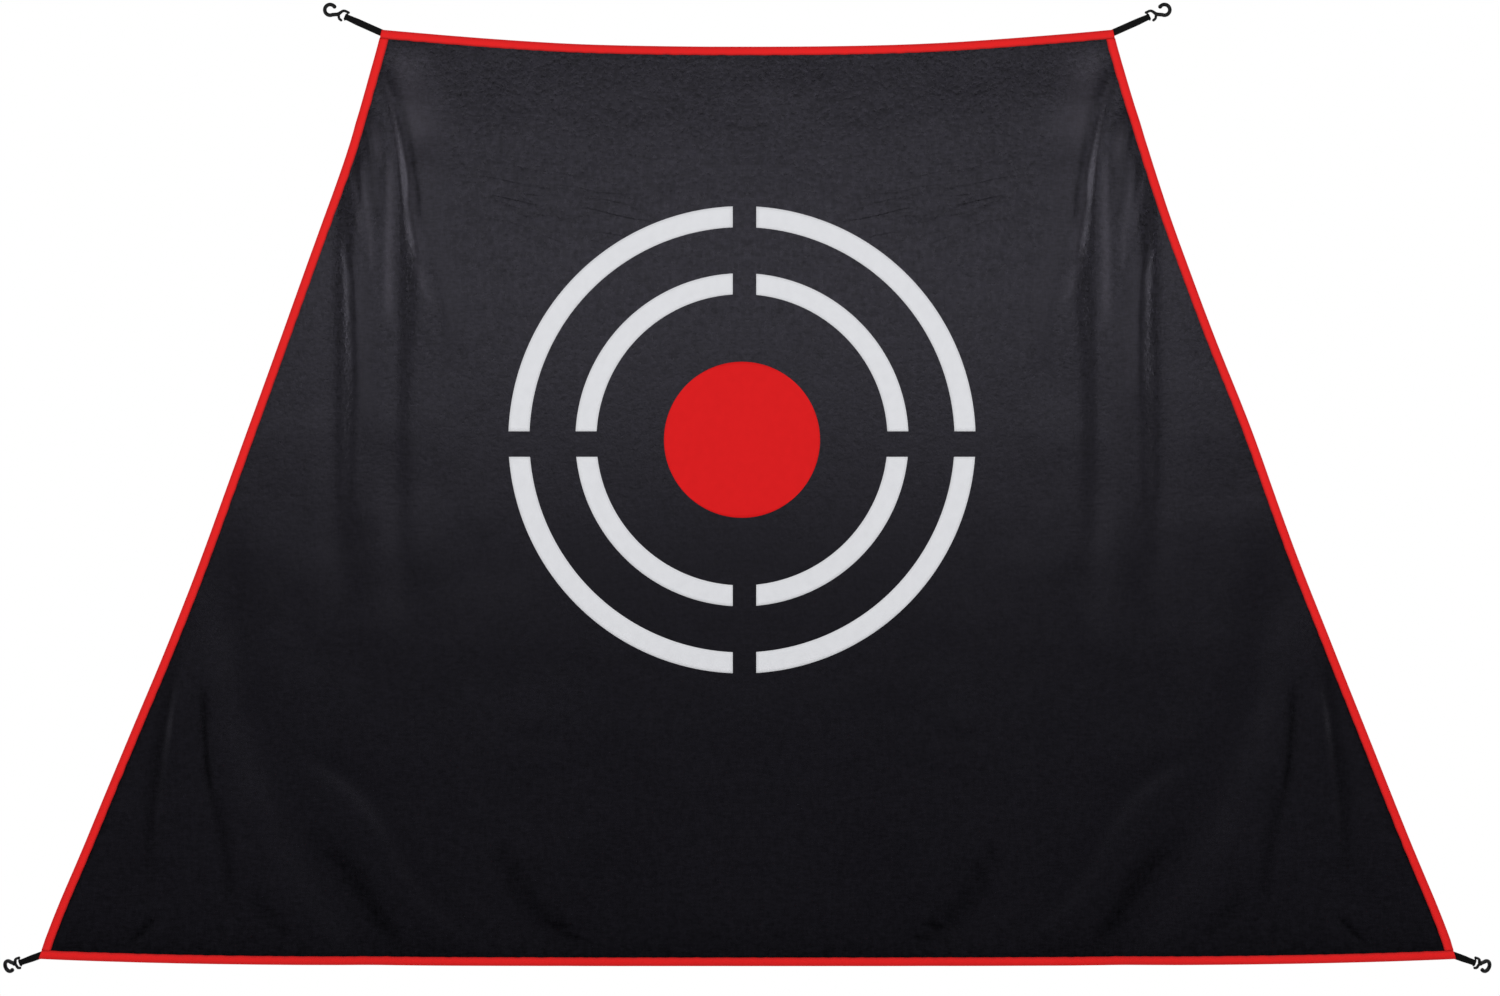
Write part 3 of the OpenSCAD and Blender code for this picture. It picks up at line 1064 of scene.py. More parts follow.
@dataclass(frozen=True)
class SheetForm:
    """The hanging sheet as a function of two shares, across and down."""

    top_w: float = 1462.0
    bottom_w: float = 2833.0
    drop: float = 1856.0
    top_z: float = -40.854
    cloth_t: float = 0.8
    tape_t: float = 0.9
    web_t: float = 1.3
    binding_w: float = 16.5
    # The edges
    top_sag: float = 34.0
    bottom_sag: float = 11.0
    side_draw: float = 27.0
    top_dip: Swell = Swell(2.0, 0.48, 0.26)
    bottom_belly: float = 3.4
    bottom_dip: Swell = Swell(0.8, 0.72, 0.15)
    corner_keep: float = 0.02
    # Broad folds: their span in pitches, or where they start, end and fade
    # in shares of the drop
    curtain_depth: float = 6.8
    curtain_pitch: float = 143.0
    curtain_x: float = 705.0
    curtain_fade: float = 120.0
    curtain_span: tuple[float, float] = (0.85, 1.3)
    curtain_rows: Triple = (0.04, 0.66, 0.2)
    slant_depth: float = 8.0
    slant_w: float = 50.0
    slant_x: float = 1041.0
    slant_reach: float = 296.0
    slant_from: float = 0.575
    slant_rows: Triple = (0.5, 1.1, 0.16)
    # The calm middle round the target
    target_x: float = -10.6
    target_drop: float = 819.0
    flat_r: float = 507.0
    flat_fade: tuple[float, float] = (10.0, 50.0)
    calm_margin: float = 90.0
    calm_fade: float = 140.0
    # How far folds higher than pull_over smooth the fine creases
    pull: float = 0.85
    pull_over: float = 1.0
    # Slight unevenness all over
    ripple: float = 0.42
    ripple_waves: int = 26
    ripple_length: tuple[float, float] = (60.0, 260.0)
    ripple_in_target: float = 0.15
    seed: int = 11

    @property
    def cloth_y(self) -> float:
        """Depth of the cloth's middle where it has no fold."""
        return -self.web_t - self.tape_t - self.cloth_t / 2

    @property
    def target_z(self) -> float:
        """Height of the target's centre."""
        return self.top_z - self.target_drop

    @property
    def hem(self) -> float:
        """Share of the height that a binding covers."""
        return self.binding_w / self.drop

    @property
    def hem_side(self) -> float:
        """Level width that a side binding covers."""
        return self.binding_w / math.cos(math.atan((self.bottom_w - self.top_w) / 2 / self.drop))

    def half_width(self, t: Array) -> Array:
        """Half the width at share t: the taper less side_draw sin(pi t^0.75)."""
        taper = self.top_w / 2 + (self.bottom_w - self.top_w) / 2 * t
        return taper - self.side_draw * np.sin(math.pi * t**0.75)

    def sag(self, u: Array, t: Array) -> Array:
        """How far a point hangs below the corners' lines.

        A parabola at the top, with a dip in each half, gives way to a flat
        cubic belly, fuller along the bottom edge.

        Args:
            u: Share across of each point, from -1 to 1.
            t: Share down of each point, from 0 to 1.

        Returns:
            The distance below the straight row.
        """
        dip = self.top_dip.at(np.abs(u)) * (1.0 - t) ** 6
        top = self.top_sag * (1.0 - u**2) * (1.0 - t)
        low = self.bottom_belly * (1.0 - u**10) + self.bottom_dip.at(np.abs(u))
        return top + dip + self.bottom_sag * (1.0 - np.abs(u) ** 3) * t + low * t**6

    def swell(self, x: Array, t: Array) -> Array:
        """How far the side edges' unevenness moves a point. The corners stay.

        Args:
            x: Sideways place of each point.
            t: Share down of each point.

        Returns:
            The sideways movement.
        """
        near = np.clip(np.abs(x) / (self.half_width(t) - self.hem_side), 0.0, 1.0) ** 6
        ends = np.clip(np.minimum(t, 1.0 - t) / self.corner_keep, 0.0, 1.0)
        moved = np.zeros_like(near)
        for side, swells in SIDE_SWELLS.items():
            for wave in swells:
                moved = moved + np.where(x * side > 0.0, side * wave.at(t), 0.0)
        return moved * near * ends

    def spot(self, x: Array, t: Array) -> Array:
        """Height of the point at x on the row at share t."""
        return self.top_z - self.drop * t - self.sag(x / self.half_width(t), t)

    def _broad(self, a: Array, z: Array) -> Array:
        """The broad folds of each half.

        Hanging ones are a cosine inside soft windows. The slanting hollow is
        exp(-(d / width)^2), and its middle line is a parabola towards the
        centre.

        Args:
            a: Distance of each point from the centre line.
            z: Height of each point.

        Returns:
            Distance behind the plain sheet.
        """
        s = self.top_z - z
        before, after = (self.curtain_pitch * pitches for pitches in self.curtain_span)
        hang = np.cos(2 * math.pi * (a - self.curtain_x) / self.curtain_pitch) * window(
            self.curtain_x - before, self.curtain_x + after, self.curtain_fade, a
        ) * window(*(self.drop * row for row in self.curtain_rows), s)
        share = (s / self.drop - self.slant_from) / (1.0 - self.slant_from)
        line = self.slant_x - self.slant_reach * share * np.abs(share)
        lean = 2.0 * self.slant_reach * np.abs(share) / ((1.0 - self.slant_from) * self.drop)
        d = (a - line) / np.sqrt(1.0 + lean**2)
        slant = bell(d, self.slant_w) * window(*(self.drop * row for row in self.slant_rows), s)
        return self.curtain_depth * hang + self.slant_depth * slant

    def _ripples(self, x: Array, z: Array) -> Array:
        """Slight unevenness: a sum of plane waves of seeded directions.

        Args:
            x: Sideways place of each point.
            z: Height of each point.

        Returns:
            Distance behind the plain sheet.
        """
        random = np.random.default_rng(self.seed)
        middle = sum(self.ripple_length) / 2
        total = np.zeros_like(x)
        for _ in range(self.ripple_waves):
            length = random.uniform(*self.ripple_length)
            angle = random.uniform(0.0, math.pi)
            phase = random.uniform(0.0, math.tau)
            wave = (x * math.cos(angle) + z * math.sin(angle)) * math.tau / length
            total += np.sin(wave + phase) * length / middle
        return self.ripple * total / math.sqrt(self.ripple_waves)

    def fold(self, x: Array, z: Array) -> Array:
        """Depth of all folds at a point of the sheet, to the rear.

        Args:
            x: Sideways place of each point.
            z: Height of each point.

        Returns:
            Distance behind the plain sheet.
        """
        a = np.abs(x)
        away = np.hypot(x - self.target_x, z - self.target_z)
        calm_r = self.flat_r + self.calm_margin
        calm = smooth(calm_r, calm_r + self.calm_fade, away)
        clear = smooth(self.flat_r - self.flat_fade[0], self.flat_r + self.flat_fade[1], away)
        fine = sum(crease.height * crease.share(a, z) for crease in CREASES.values())
        kept = self.ripple_in_target
        ripples = self._ripples(x, z) * (kept + (1.0 - kept) * clear)
        return calm * self._broad(a, z) - clear * fine + ripples

    def hollow_shade(self, x: Array, z: Array) -> Array:
        """Painted shade in tight hollow folds at each point, from 0 to 1."""
        dark = [c.tone * c.share(np.abs(x), z) for c in CREASES.values() if c.tone > 0]
        return np.clip(sum(dark), 0.0, 1.0)

    def painted_highlights(self, x: Array, z: Array) -> Array:
        """Painted highlight on the crests at each point, from 0 to 1."""
        pale = [-c.tone * c.share(np.abs(x), z) for c in CREASES.values() if c.tone < 0]
        return np.clip(sum(pale), 0.0, 1.0)

    def taut(self, x: Array, z: Array) -> Array:
        """How far the pull of the higher folds smooths the fine creases."""
        pulled = [c for c in CREASES.values() if abs(c.height) > self.pull_over]
        return self.pull * np.clip(sum(c.share(np.abs(x), z) for c in pulled), 0.0, 1.0)

    def surface(self, x: Array, t: Array) -> Array:
        """Points of the cloth's middle.

        The folds run on unchanged under the binding, so it lies flat on the
        sheet.

        Args:
            x: Sideways place of each point.
            t: Share of the height of each point.

        Returns:
            The points, on a new last axis.
        """
        kept = np.clip(t, self.hem, 1.0 - self.hem)
        reach = self.half_width(kept) - self.hem_side
        inside = np.clip(x, -reach, reach)
        y = self.cloth_y + self.fold(inside, self.spot(inside, kept))
        return np.stack([x + self.swell(x, t), y, self.spot(x, t)], axis=-1)

    def at(self, x: Array, z: Array) -> Array:
        """Points of the cloth's middle well inside the hems, as seen in front."""
        return np.stack([x, self.cloth_y + self.fold(x, z), z], axis=-1)


@dataclass
class TargetCloth:
    """The sheet itself, with its printed target."""

    form: SheetForm
    finishes: Finishes
    wardrobe: Wardrobe
    outer_ring_r: float = 467.0
    inner_ring_r: float = 333.0
    ring_band: float = 42.0
    bullseye_r: float = 156.0
    upright_gap: float = 47.0
    level_gap: float = 51.0
    upright_gap_x: float = 5.0
    level_gap_z: float = -8.6
    print_t: float = 0.3
    print_sunk: float = 0.8
    # Points across and along one arc, and along each side of the disc's grid
    arc_grid: tuple[int, int] = (7, 73)
    disc_grid: int = 45
    # Shade beside the tape and above the bottom hem: strength and reach
    tape_shade: tuple[float, float] = (0.85, 3.2)
    hem_shade: tuple[float, float] = (0.5, 42.0)
    side_lean: float = 0.94  # distance square to a side edge over the level one
    # Shares across and down between which the folds need close points, and
    # the points in each stretch
    plain_to: float = 0.40
    folds_to: float = 0.985
    upper_to: float = 0.31
    lower_from: float = 0.74
    columns: tuple[int, int] = (16, 156)
    rows: tuple[int, int, int] = (48, 36, 38)
    row_gap: float = 0.005

    def _shares(self) -> tuple[Array, Array]:
        """Column and row places, closer together at the folds and hems.

        Returns:
            Shares across, from -1 to 1, and shares down, from 0 to 1.
        """
        half = np.concatenate([
            np.linspace(0.0, self.plain_to, self.columns[0], endpoint=False),
            np.linspace(self.plain_to, self.folds_to, self.columns[1]),
            [0.9890, 0.9925, 0.9955, 0.9980, 1.0],
        ])
        across = np.concatenate([-half[:0:-1], half])
        near = self.form.hem + np.array([0.0, 1.5, 3.5, 7.0]) / self.form.drop
        first, last = near[-1] + self.row_gap, 1.0 - near[-1] - self.row_gap
        down = np.concatenate([
            near, np.linspace(first, self.upper_to, self.rows[0], endpoint=False),
            np.linspace(self.upper_to, self.lower_from, self.rows[1], endpoint=False),
            np.linspace(self.lower_from, last, self.rows[2]), 1.0 - near[::-1],
        ])
        return across, down

    def sheet(self) -> Piece:
        """Makes the cloth as a closed slab and paints its masks.

        Beside a hem the shade falls off as exp(-distance / reach).

        Returns:
            The cloth.
        """
        form = self.form
        across, down = self._shares()
        t = np.concatenate([[0.0], down, [1.0]])[:, None]
        edge = form.half_width(t)
        x = np.hstack([-edge, across[None, :] * (edge - form.hem_side), edge])
        t = np.broadcast_to(t, x.shape)
        middle = form.surface(x, t)
        z = middle[..., 2]
        half = np.array([0.0, form.cloth_t / 2, 0.0])
        piece = self.wardrobe.hang(
            "cloth", slab(middle - half, middle + half, middle[..., [0, 2]]),
            self.finishes.cloth, "cloth", "sheet", ("target_cloth",),
        )
        inside = np.minimum(
            (edge - form.hem_side - np.abs(x)) * self.side_lean,
            np.minimum(t - form.hem, 1.0 - form.hem - t) * form.drop,
        )
        above = (1.0 - form.hem - t) * form.drop
        beside = [
            strength * np.exp(-np.maximum(distance, 0.0) / reach)
            for distance, (strength, reach) in ((inside, self.tape_shade), (above, self.hem_shade))
        ]
        # Painted shade beside the tape, above the bottom hem and in tight hollow folds on both
        # faces; painted highlight on the crests of the front face only
        shade = np.maximum.reduce([*beside, form.hollow_shade(x, z)]).ravel()
        self.wardrobe.paint(piece, {
            "shade": np.tile(shade, 2),
            "painted_highlight": np.concatenate([form.painted_highlights(x, z).ravel(), shade * 0.0]),
            "taut": np.tile(form.taut(x, z).ravel(), 2),
        })
        return piece

    def _film(self, x: Array, z: Array) -> Shell:
        """A film on the cloth's front over a grid of places.

        Args:
            x: Sideways place of each grid point.
            z: Height of each grid point.

        Returns:
            The film as a closed slab.
        """
        skin = self.form.at(x, z)
        lift = np.array([0.0, self.form.cloth_t / 2, 0.0])
        return slab(
            skin - lift - np.array([0.0, self.print_t, 0.0]), skin - lift * self.print_sunk,
            np.stack([x, z], axis=-1),
        )

    def ring(self, name: str, outer: float) -> Piece:
        """Prints one ring as four arcs with straight ends.

        At each radius r an arc runs from asin(level / r) to acos(upright / r),
        where level and upright are the distances of the gaps' edges.

        Args:
            name: The ring's name.
            outer: Its outer radius.

        Returns:
            The printed ring.
        """
        r = np.linspace(outer - self.ring_band, outer, self.arc_grid[0])[None, :]
        share = np.linspace(0.0, 1.0, self.arc_grid[1])[:, None]
        arcs = []
        for side, way in ((1, 1), (1, -1), (-1, 1), (-1, -1)):
            beside = self.upright_gap / 2 + side * self.upright_gap_x
            above = self.level_gap / 2 + way * self.level_gap_z
            low, high = np.arcsin(above / r), np.arccos(beside / r)
            angle = low + (high - low) * share
            arcs.append(self._film(
                self.form.target_x + side * r * np.cos(angle),
                self.form.target_z + way * r * np.sin(angle),
            ))
        return self.wardrobe.hang(
            f"{name}_arcs", arcs[0].joined(*arcs[1:]), self.finishes.ring, "ring_film",
            "sheet", (f"{name}_print",),
        )

    def bullseye(self) -> Piece:
        """Prints the disc as a square grid drawn to a circle.

        Each point of the square (p, q) goes to (p sqrt(1 - q^2/2),
        q sqrt(1 - p^2/2)).

        Returns:
            The printed disc.
        """
        side = np.linspace(-1, 1, self.disc_grid)
        p, q = np.meshgrid(side, np.linspace(1, -1, self.disc_grid))
        x = self.form.target_x + self.bullseye_r * p * np.sqrt(1 - q**2 / 2)
        z = self.form.target_z + self.bullseye_r * q * np.sqrt(1 - p**2 / 2)
        return self.wardrobe.hang(
            "bullseye_disc", self._film(x, z), self.finishes.bullseye, "bullseye_film", "sheet",
            ("bullseye_print",),
        )


class Edge(Enum):
    """The four edges of the sheet."""

    TOP = "top"
    BOTTOM = "bottom"
    LEFT = "left"
    RIGHT = "right"


@dataclass
class Binding:
    """Tape folded over each edge of the sheet and sewn down."""

    form: SheetForm
    finishes: Finishes
    wardrobe: Wardrobe
    step: float = 4.0
    side_run: float = 1.07  # length of a side edge over the drop
    crown: float = 0.5
    # The tape's lip, which lies down on the cloth, its fold, which starts
    # before the edge and stands out past it, and the end of its inner wall
    lip_w: float = 0.5
    lip_thinned: float = 0.45
    fold_from: float = 0.4
    fold_out: float = 1.3
    inner_past: float = 0.1
    # Unevenness: the waves' number and lengths, the lip's drift, the puff
    puckers: int = 7
    pucker_length: tuple[float, float] = (18.0, 60.0)
    drift: float = 0.7
    puff: float = 0.35
    # Shade at the fold and at the hem line: strength and width
    fold_shade: tuple[float, float] = (0.24, 4.5)
    hem_shade: tuple[float, float] = (0.42, 2.8)
    stitch_size: Triple = (1.65, 0.36, 0.3)
    stitch_inset: float = 2.4
    stitch_pitch: float = 4.4
    stitch_margin: float = 6.0
    stitch_lift: float = 0.22

    def _stations(self, edge: Edge) -> tuple[Array, Array]:
        """Pairs of points along an edge: on the edge and on the hem line.

        Args:
            edge: Which edge.

        Returns:
            The edge points and the hem points.
        """
        form = self.form
        if edge in (Edge.TOP, Edge.BOTTOM):
            rim, inner = (0.0, form.hem) if edge is Edge.TOP else (1.0, 1.0 - form.hem)
            u = np.linspace(-1.0, 1.0, int(2 * float(form.half_width(np.array(rim))) / self.step))
            outside, inside = (
                form.surface(u * form.half_width(np.array(t)), np.full_like(u, t))
                for t in (rim, inner)
            )
            return outside, inside
        side = -1.0 if edge is Edge.LEFT else 1.0
        t = np.linspace(form.hem, 1.0 - form.hem, int(form.drop * self.side_run / self.step))
        outside = form.surface(side * form.half_width(t), t)
        inside = form.surface(side * (form.half_width(t) - form.hem_side), t)
        return outside, inside

    def _profile(self, width: float) -> tuple[Array, Array]:
        """The tape's section: a U round the edge, crowned on both faces.

        Its first number runs from the hem line outwards, its second from the
        front to the rear.

        Args:
            width: Distance from the hem line to the sheet's edge.

        Returns:
            The section's two coordinates, once round.
        """
        c = self.form.cloth_t / 2
        skin = c + self.form.tape_t
        p = np.linspace(0.0, 1.0, 9)
        lip = 1.0 - self.lip_thinned * bell(p * width, self.lip_w)
        face = c + (skin - c) * lip + self.crown * np.sin(math.pi * p**0.8) ** 0.7
        bend = np.linspace(-math.pi / 2, math.pi / 2, 9)[1:-1]
        outer = width - self.fold_from
        run = np.concatenate([p * outer, outer + self.fold_out * np.cos(bend), p[::-1] * outer])
        deep = np.concatenate([-face, skin * np.sin(bend), face[::-1]])
        inner_p = np.array([0.0, 0.5, 1.0]) * (outer + self.inner_past)
        return (
            np.concatenate([run, inner_p, inner_p[::-1]]),
            np.concatenate([deep, [c, c, c], [-c, -c, -c]]),
        )

    def tape(self, edge: Edge) -> Piece:
        """Makes one length of tape: its section carried along the edge.

        Waves of seeded lengths move its lip and puff its faces.

        Args:
            edge: The edge that it binds.

        Returns:
            The tape.
        """
        outside, inside = self._stations(edge)
        away = outside - inside
        away[:, 1] = 0.0
        width = np.linalg.norm(away, axis=1)
        run = travel(outside)
        random = np.random.default_rng(sum(map(ord, edge.value)))
        pucker = sum(
            np.sin(
                run * math.tau / random.uniform(*self.pucker_length)
                + random.uniform(0, math.tau)
            )
            for _ in range(self.puckers)
        ) / self.puckers
        p, q = self._profile(float(width.mean()))
        share = p / width.mean()
        drift = (1.0 - np.clip(share, 0.0, 1.0)) * self.drift
        reach = share[None, :] * width[:, None] - pucker[:, None] * drift[None, :]
        puff = 1.0 + self.puff * pucker[:, None] * np.sin(math.pi * np.clip(share, 0, 1))[None, :]
        deep = q[None, :] * np.where(np.abs(q)[None, :] > self.form.cloth_t, puff, 1.0)
        sections = (
            inside[:, None] + (away / width[:, None])[:, None] * reach[..., None]
            + np.array([0.0, 1.0, 0.0]) * deep[..., None]
        )
        piece = self.wardrobe.hang(
            f"{edge.value}_tape", loft(sections, run, travel(np.stack([p, q], axis=-1))),
            self.finishes.binding, "binding", "sheet", (f"{edge.value}_binding",),
        )
        across = np.clip(p, 0.0, None)
        # Painted shade along the tape's fold and along its hem line, which darkens both edges of
        # its face
        painted_edge_shade = self.fold_shade[0] * bell(width.mean() - across, self.fold_shade[1])
        painted_edge_shade = painted_edge_shade + self.hem_shade[0] * bell(across, self.hem_shade[1])
        self.wardrobe.paint(piece, {"shade": np.tile(painted_edge_shade, len(sections))})
        return piece

    def sewing(self, edge: Edge) -> Piece:
        """Sews one length down with a row of stitches on each face.

        Args:
            edge: The edge that is sewn.

        Returns:
            The stitches.
        """
        outside, inside = self._stations(edge)
        run = travel(inside)
        at = np.arange(self.stitch_margin, run[-1] - self.stitch_margin, self.stitch_pitch)
        rim, base = (
            np.stack([np.interp(at, run, line[:, k]) for k in range(3)], axis=-1)
            for line in (outside, inside)
        )
        away = rim - base
        away[:, 1] = 0.0
        middle = base + unit(away) * self.stitch_inset
        lift = self.form.cloth_t / 2 + self.form.tape_t + self.stitch_lift
        shell = sewn_through(middle, np.gradient(middle, axis=0), lift, self.stitch_size)
        return self.wardrobe.hang(
            f"{edge.value}_stitches", shell, self.finishes.thread, "binding", "sheet"
        )


# ------------------------------------------------------------- the corners


class Corner(Enum):
    """The four corners of the sheet."""

    TOP_LEFT = "top_left"
    TOP_RIGHT = "top_right"
    BOTTOM_LEFT = "bottom_left"
    BOTTOM_RIGHT = "bottom_right"

    @property
    def top(self) -> bool:
        """Whether it is one of the upper corners."""
        return self in (Corner.TOP_LEFT, Corner.TOP_RIGHT)

    @property
    def left(self) -> bool:
        """Whether it is one of the left corners."""
        return self in (Corner.TOP_LEFT, Corner.BOTTOM_LEFT)


@dataclass
class CornerStrap:
    """Webbing strap of one corner, and the hook in its loop.

    Sizes are given in the strap's own axes: x runs out from the seam, y to
    the rear and z to the strap's lower side.
    """

    form: SheetForm
    finishes: Finishes
    wardrobe: Wardrobe
    corner: Corner
    # The webbing
    strap_w: float = 14.0
    top_strap: float = 74.0
    top_angle: float = 24.0
    bottom_strap: float = 36.0
    bottom_angle: float = 20.0
    tail_len: float = 32.0
    strap_inset: float = 4.7
    seam_out: float = 2.2
    seam_reach: float = 2.5
    loop_taper: float = 16.0
    loop_gather: float = 0.16
    gather_from: float = 12.0
    # The webbing's section: how much thinner it is, its ribs and round edges
    thinned: float = 0.86
    rib: float = 0.06
    ribs: int = 6
    edge_in: float = 0.15
    edge_power: int = 14
    edge_least: float = 0.06
    # The bar tacks
    tack_rows: tuple[float, float] = (1.5, 4.2)
    tack_pitch: float = 1.3
    tack_slant: float = 0.45
    tack_size: Triple = (1.25, 0.34, 0.3)
    # The hook
    throat_r: float = 7.0
    hook_rod: float = 7.4
    hook_t: float = 7.0
    hook_reach: float = 34.8
    bar_r: float = 1.7
    arm_r: float = 2.5
    arm_thinned: float = 1.4
    bottom_lean: float = 33.0
    bar_gap: float = 0.3
    side_gap: float = 0.4
    seam_gap: float = 0.3
    stem_at: float = 216.0
    lip_at: float = 116.0
    lip_swell: float = 0.3
    mould_seam: float = 0.035
    # Powers of the superellipse of the main bar and of the second arm, and
    # the second arm's root as shares of the rod's width and thickness
    bar_power: float = 2.7
    arm_power: float = 2.5
    root_wide: float = 0.8
    root_thick: float = 0.86

    @property
    def length(self) -> float:
        """Length of the strap from its seam to the hook's bar."""
        return self.top_strap if self.corner.top else self.bottom_strap

    def world(self, local: Array) -> Array:
        """Takes points from the strap's own axes to the sheet's.

        Args:
            local: Points in the strap's axes.

        Returns:
            The points in the frame.
        """
        form = self.form
        if self.corner.top:
            turn, inset = math.radians(180 + self.top_angle), self.strap_inset
            tip = np.array([-form.top_w / 2, 0.0, form.top_z])
        else:
            turn, inset = math.radians(180 - self.bottom_angle), -self.strap_inset
            tip = np.array([-form.bottom_w / 2, 0.0, form.top_z - form.drop])
        p = local + np.array([self.seam_out, 0.0, inset])
        c, s = math.cos(turn), math.sin(turn)
        x, y, z = p[..., 0], p[..., 1], p[..., 2]
        out = np.stack([x * c + z * s, y, z * c - x * s], axis=-1) + tip
        return out if self.corner.left else out * np.array([-1.0, 1.0, 1.0])

    def _moved(self, shell: Shell) -> Shell:
        """The shell in the frame, with its faces outwards."""
        return Shell(self.world(shell.points), shell.faces, shell.uv).outward()

    def _band(self) -> Array:
        """The webbing's middle line.

        It runs from behind the corner out along the front ply, round the bar
        and back along the rear ply.

        Returns:
            Points along the strap and from its front to its rear.
        """
        half = self.form.web_t / 2
        turn_r = self.bar_r + self.bar_gap + half
        start = -(self.form.web_t + self.seam_gap + self.tail_len)
        fall = self.length - self.loop_taper
        lean = math.asin((turn_r - half) / self.loop_taper)
        arc = np.linspace(-math.pi / 2 - lean, math.pi / 2 + lean, 26)
        bend = np.stack([self.length + turn_r * np.cos(arc), turn_r * np.sin(arc)], axis=-1)
        s = np.linspace(0.0, 1.0, 10)[1:-1]
        opening = np.stack([
            fall + (bend[0, 0] - fall) * s,
            -half + (bend[0, 1] + half) * smooth(0.0, 1.0, s)], axis=-1)
        flat_x = np.linspace(start, fall, int((fall - start) / 1.6))
        ply = np.stack([flat_x, np.full_like(flat_x, -half)], axis=-1)
        out = np.vstack([ply, opening])
        return np.vstack([out, bend, out[::-1] * np.array([1.0, -1.0])])

    def webbing(self) -> Piece:
        """Makes the webbing: a thin ribbed section carried along the band.

        Returns:
            The strap.
        """
        band = self._band()
        path = np.column_stack([band[:, 0], band[:, 1], np.zeros(len(band))])
        across = np.linspace(-1.0, 1.0, 15)
        width = self.strap_w / 2 - self.edge_in
        rib = self.thinned + self.rib * np.cos(across * math.pi * self.ribs)
        edge = 0.5 * self.form.web_t * rib
        edge *= np.sqrt(np.maximum(1.0 - np.abs(across) ** self.edge_power, self.edge_least))
        ring_a = np.concatenate([across, across[::-1]]) * width
        ring_t = np.concatenate([edge, -edge[::-1]])
        tangent = unit(np.gradient(path, axis=0))
        normal = np.stack([-tangent[:, 1], tangent[:, 0], tangent[:, 2]], axis=-1)
        start = self.length - self.loop_taper - self.gather_from
        gather = 1.0 - self.loop_gather * smooth(start, self.length, path[:, 0])
        sections = (
            path[:, None] + normal[:, None] * ring_t[None, :, None]
            + np.array([0.0, 0.0, 1.0]) * (gather[:, None] * ring_a[None, :])[..., None]
        )
        name = self.corner.value
        strap = self.wardrobe.hang(
            f"{name}_webbing", self._moved(loft(sections, travel(path), ring_a)),
            self.finishes.webbing, "webbing", None, (f"{name}_strap_tail", f"{name}_strap"),
        )
        reach = self.seam_reach
        ends = self.world(np.array([[-reach, 0.0, 0.0], [reach, 0.0, 0.0]])) * MM
        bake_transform(strap)
        return strap

    def tacks(self) -> Piece:
        """Sews the loop shut with two close rows of thread across the strap.

        Returns:
            The stitches.
        """
        rows = self.length - self.loop_taper - np.array(self.tack_rows)
        z = np.arange(-self.strap_w / 2 + 1.6, self.strap_w / 2 - 1.0, self.tack_pitch)
        x, z = (part.ravel() for part in np.meshgrid(rows, z))
        middle = np.stack([x, np.zeros_like(x), z], axis=-1)
        along = np.broadcast_to(np.array([1.0, 0.0, self.tack_slant]), middle.shape)
        shell = sewn_through(middle, along, self.form.web_t + 0.02, self.tack_size)
        return self.wardrobe.hang(
            f"{self.corner.value}_bar_tacks", self._moved(shell), self.finishes.tack,
            "webbing", f"{self.corner.value}_strap",
        )

    def _hook_shell(self) -> Shell:
        """The hook as it is moulded, with its bar along z at the origin.

        One bar runs from the lip round the throat and along the stem to the
        eye's closed arm. The second arm and the eye's bar are added to it.

        Returns:
            The three skins as one mesh.
        """
        gap = -1.0 if self.corner.top else 1.0
        middle = self.throat_r + self.hook_rod / 2
        wide, thick = self.hook_rod / 2, self.hook_t / 2
        arm = self.arm_r + 0.1
        arm_z = self.strap_w / 2 + self.side_gap + self.arm_r + 0.2
        arm_t = (self.hook_t - self.arm_thinned) / 2
        crotch = np.array([self.hook_reach / 2 - 0.9, -0.1 * middle])
        lip = math.radians(self.lip_at + 4)
        angle = np.linspace(lip, math.radians(self.stem_at - 360 + 6), 60)
        throat = np.stack(
            [self.hook_reach + middle * np.cos(angle), middle * np.sin(angle)], axis=-1
        )
        # Past the throat's foot to the crotch, then out along the closed arm
        stem = curve(np.array([
            throat[-2], throat[-1], [self.hook_reach - 2 * self.throat_r, -0.36 * middle],
            crotch, [0.58 * crotch[0], -gap * (arm_z - 1.0)], [0.0, -gap * arm_z],
            [-1.2, -gap * arm_z]]), 10)[10:]
        n = len(throat) - 1
        thin = smooth(0.34, 0.62, np.linspace(0.0, 1.0, len(stem)))
        half_a = np.concatenate([
            wide + self.lip_swell * (1 - smooth(0.0, 0.09, np.linspace(0, 1, n))),
            wide + (arm - wide) * thin])
        half_d = np.concatenate([np.full(n, thick), thick + (arm_t - thick) * thin])

        def flat(line: Array) -> Array:
            """Points of the hook's plane as points in space."""
            return np.column_stack([line[:, 0], np.zeros(len(line)), line[:, 1]])

        main = rod(
            flat(np.vstack([throat[:-1], stem])), half_a, half_d, self.bar_power,
            self.mould_seam, sides=32,
        )
        # From the crotch across to the arm that the gap leaves free
        second = curve(np.array([
            crotch + [1.5, 0.0], crotch * [0.9, 1.0] + [0.0, gap * 2.0],
            [0.7 * crotch[0], gap * (arm_z - 1.9)], [0.38 * crotch[0], gap * (arm_z - 0.1)]]), 9)
        taper = smooth(0.0, 0.5, np.linspace(0.0, 1.0, len(second)))
        root, root_t = wide * self.root_wide, thick * self.root_thick
        second_arm = rod(
            flat(second), root + (arm - root) * taper, root_t + (arm_t - root_t) * taper,
            self.arm_power, self.mould_seam,
        )
        # The eye's bar, from the closed arm to just past the webbing
        free = self.strap_w / 2 + self.side_gap + 0.6 - self.bar_r
        bar = np.linspace([0.0, -gap * arm_z], [0.0, gap * free], 16)
        full = np.full(len(bar), self.bar_r)
        return main.joined(second_arm, rod(flat(bar), full, full, sides=24))

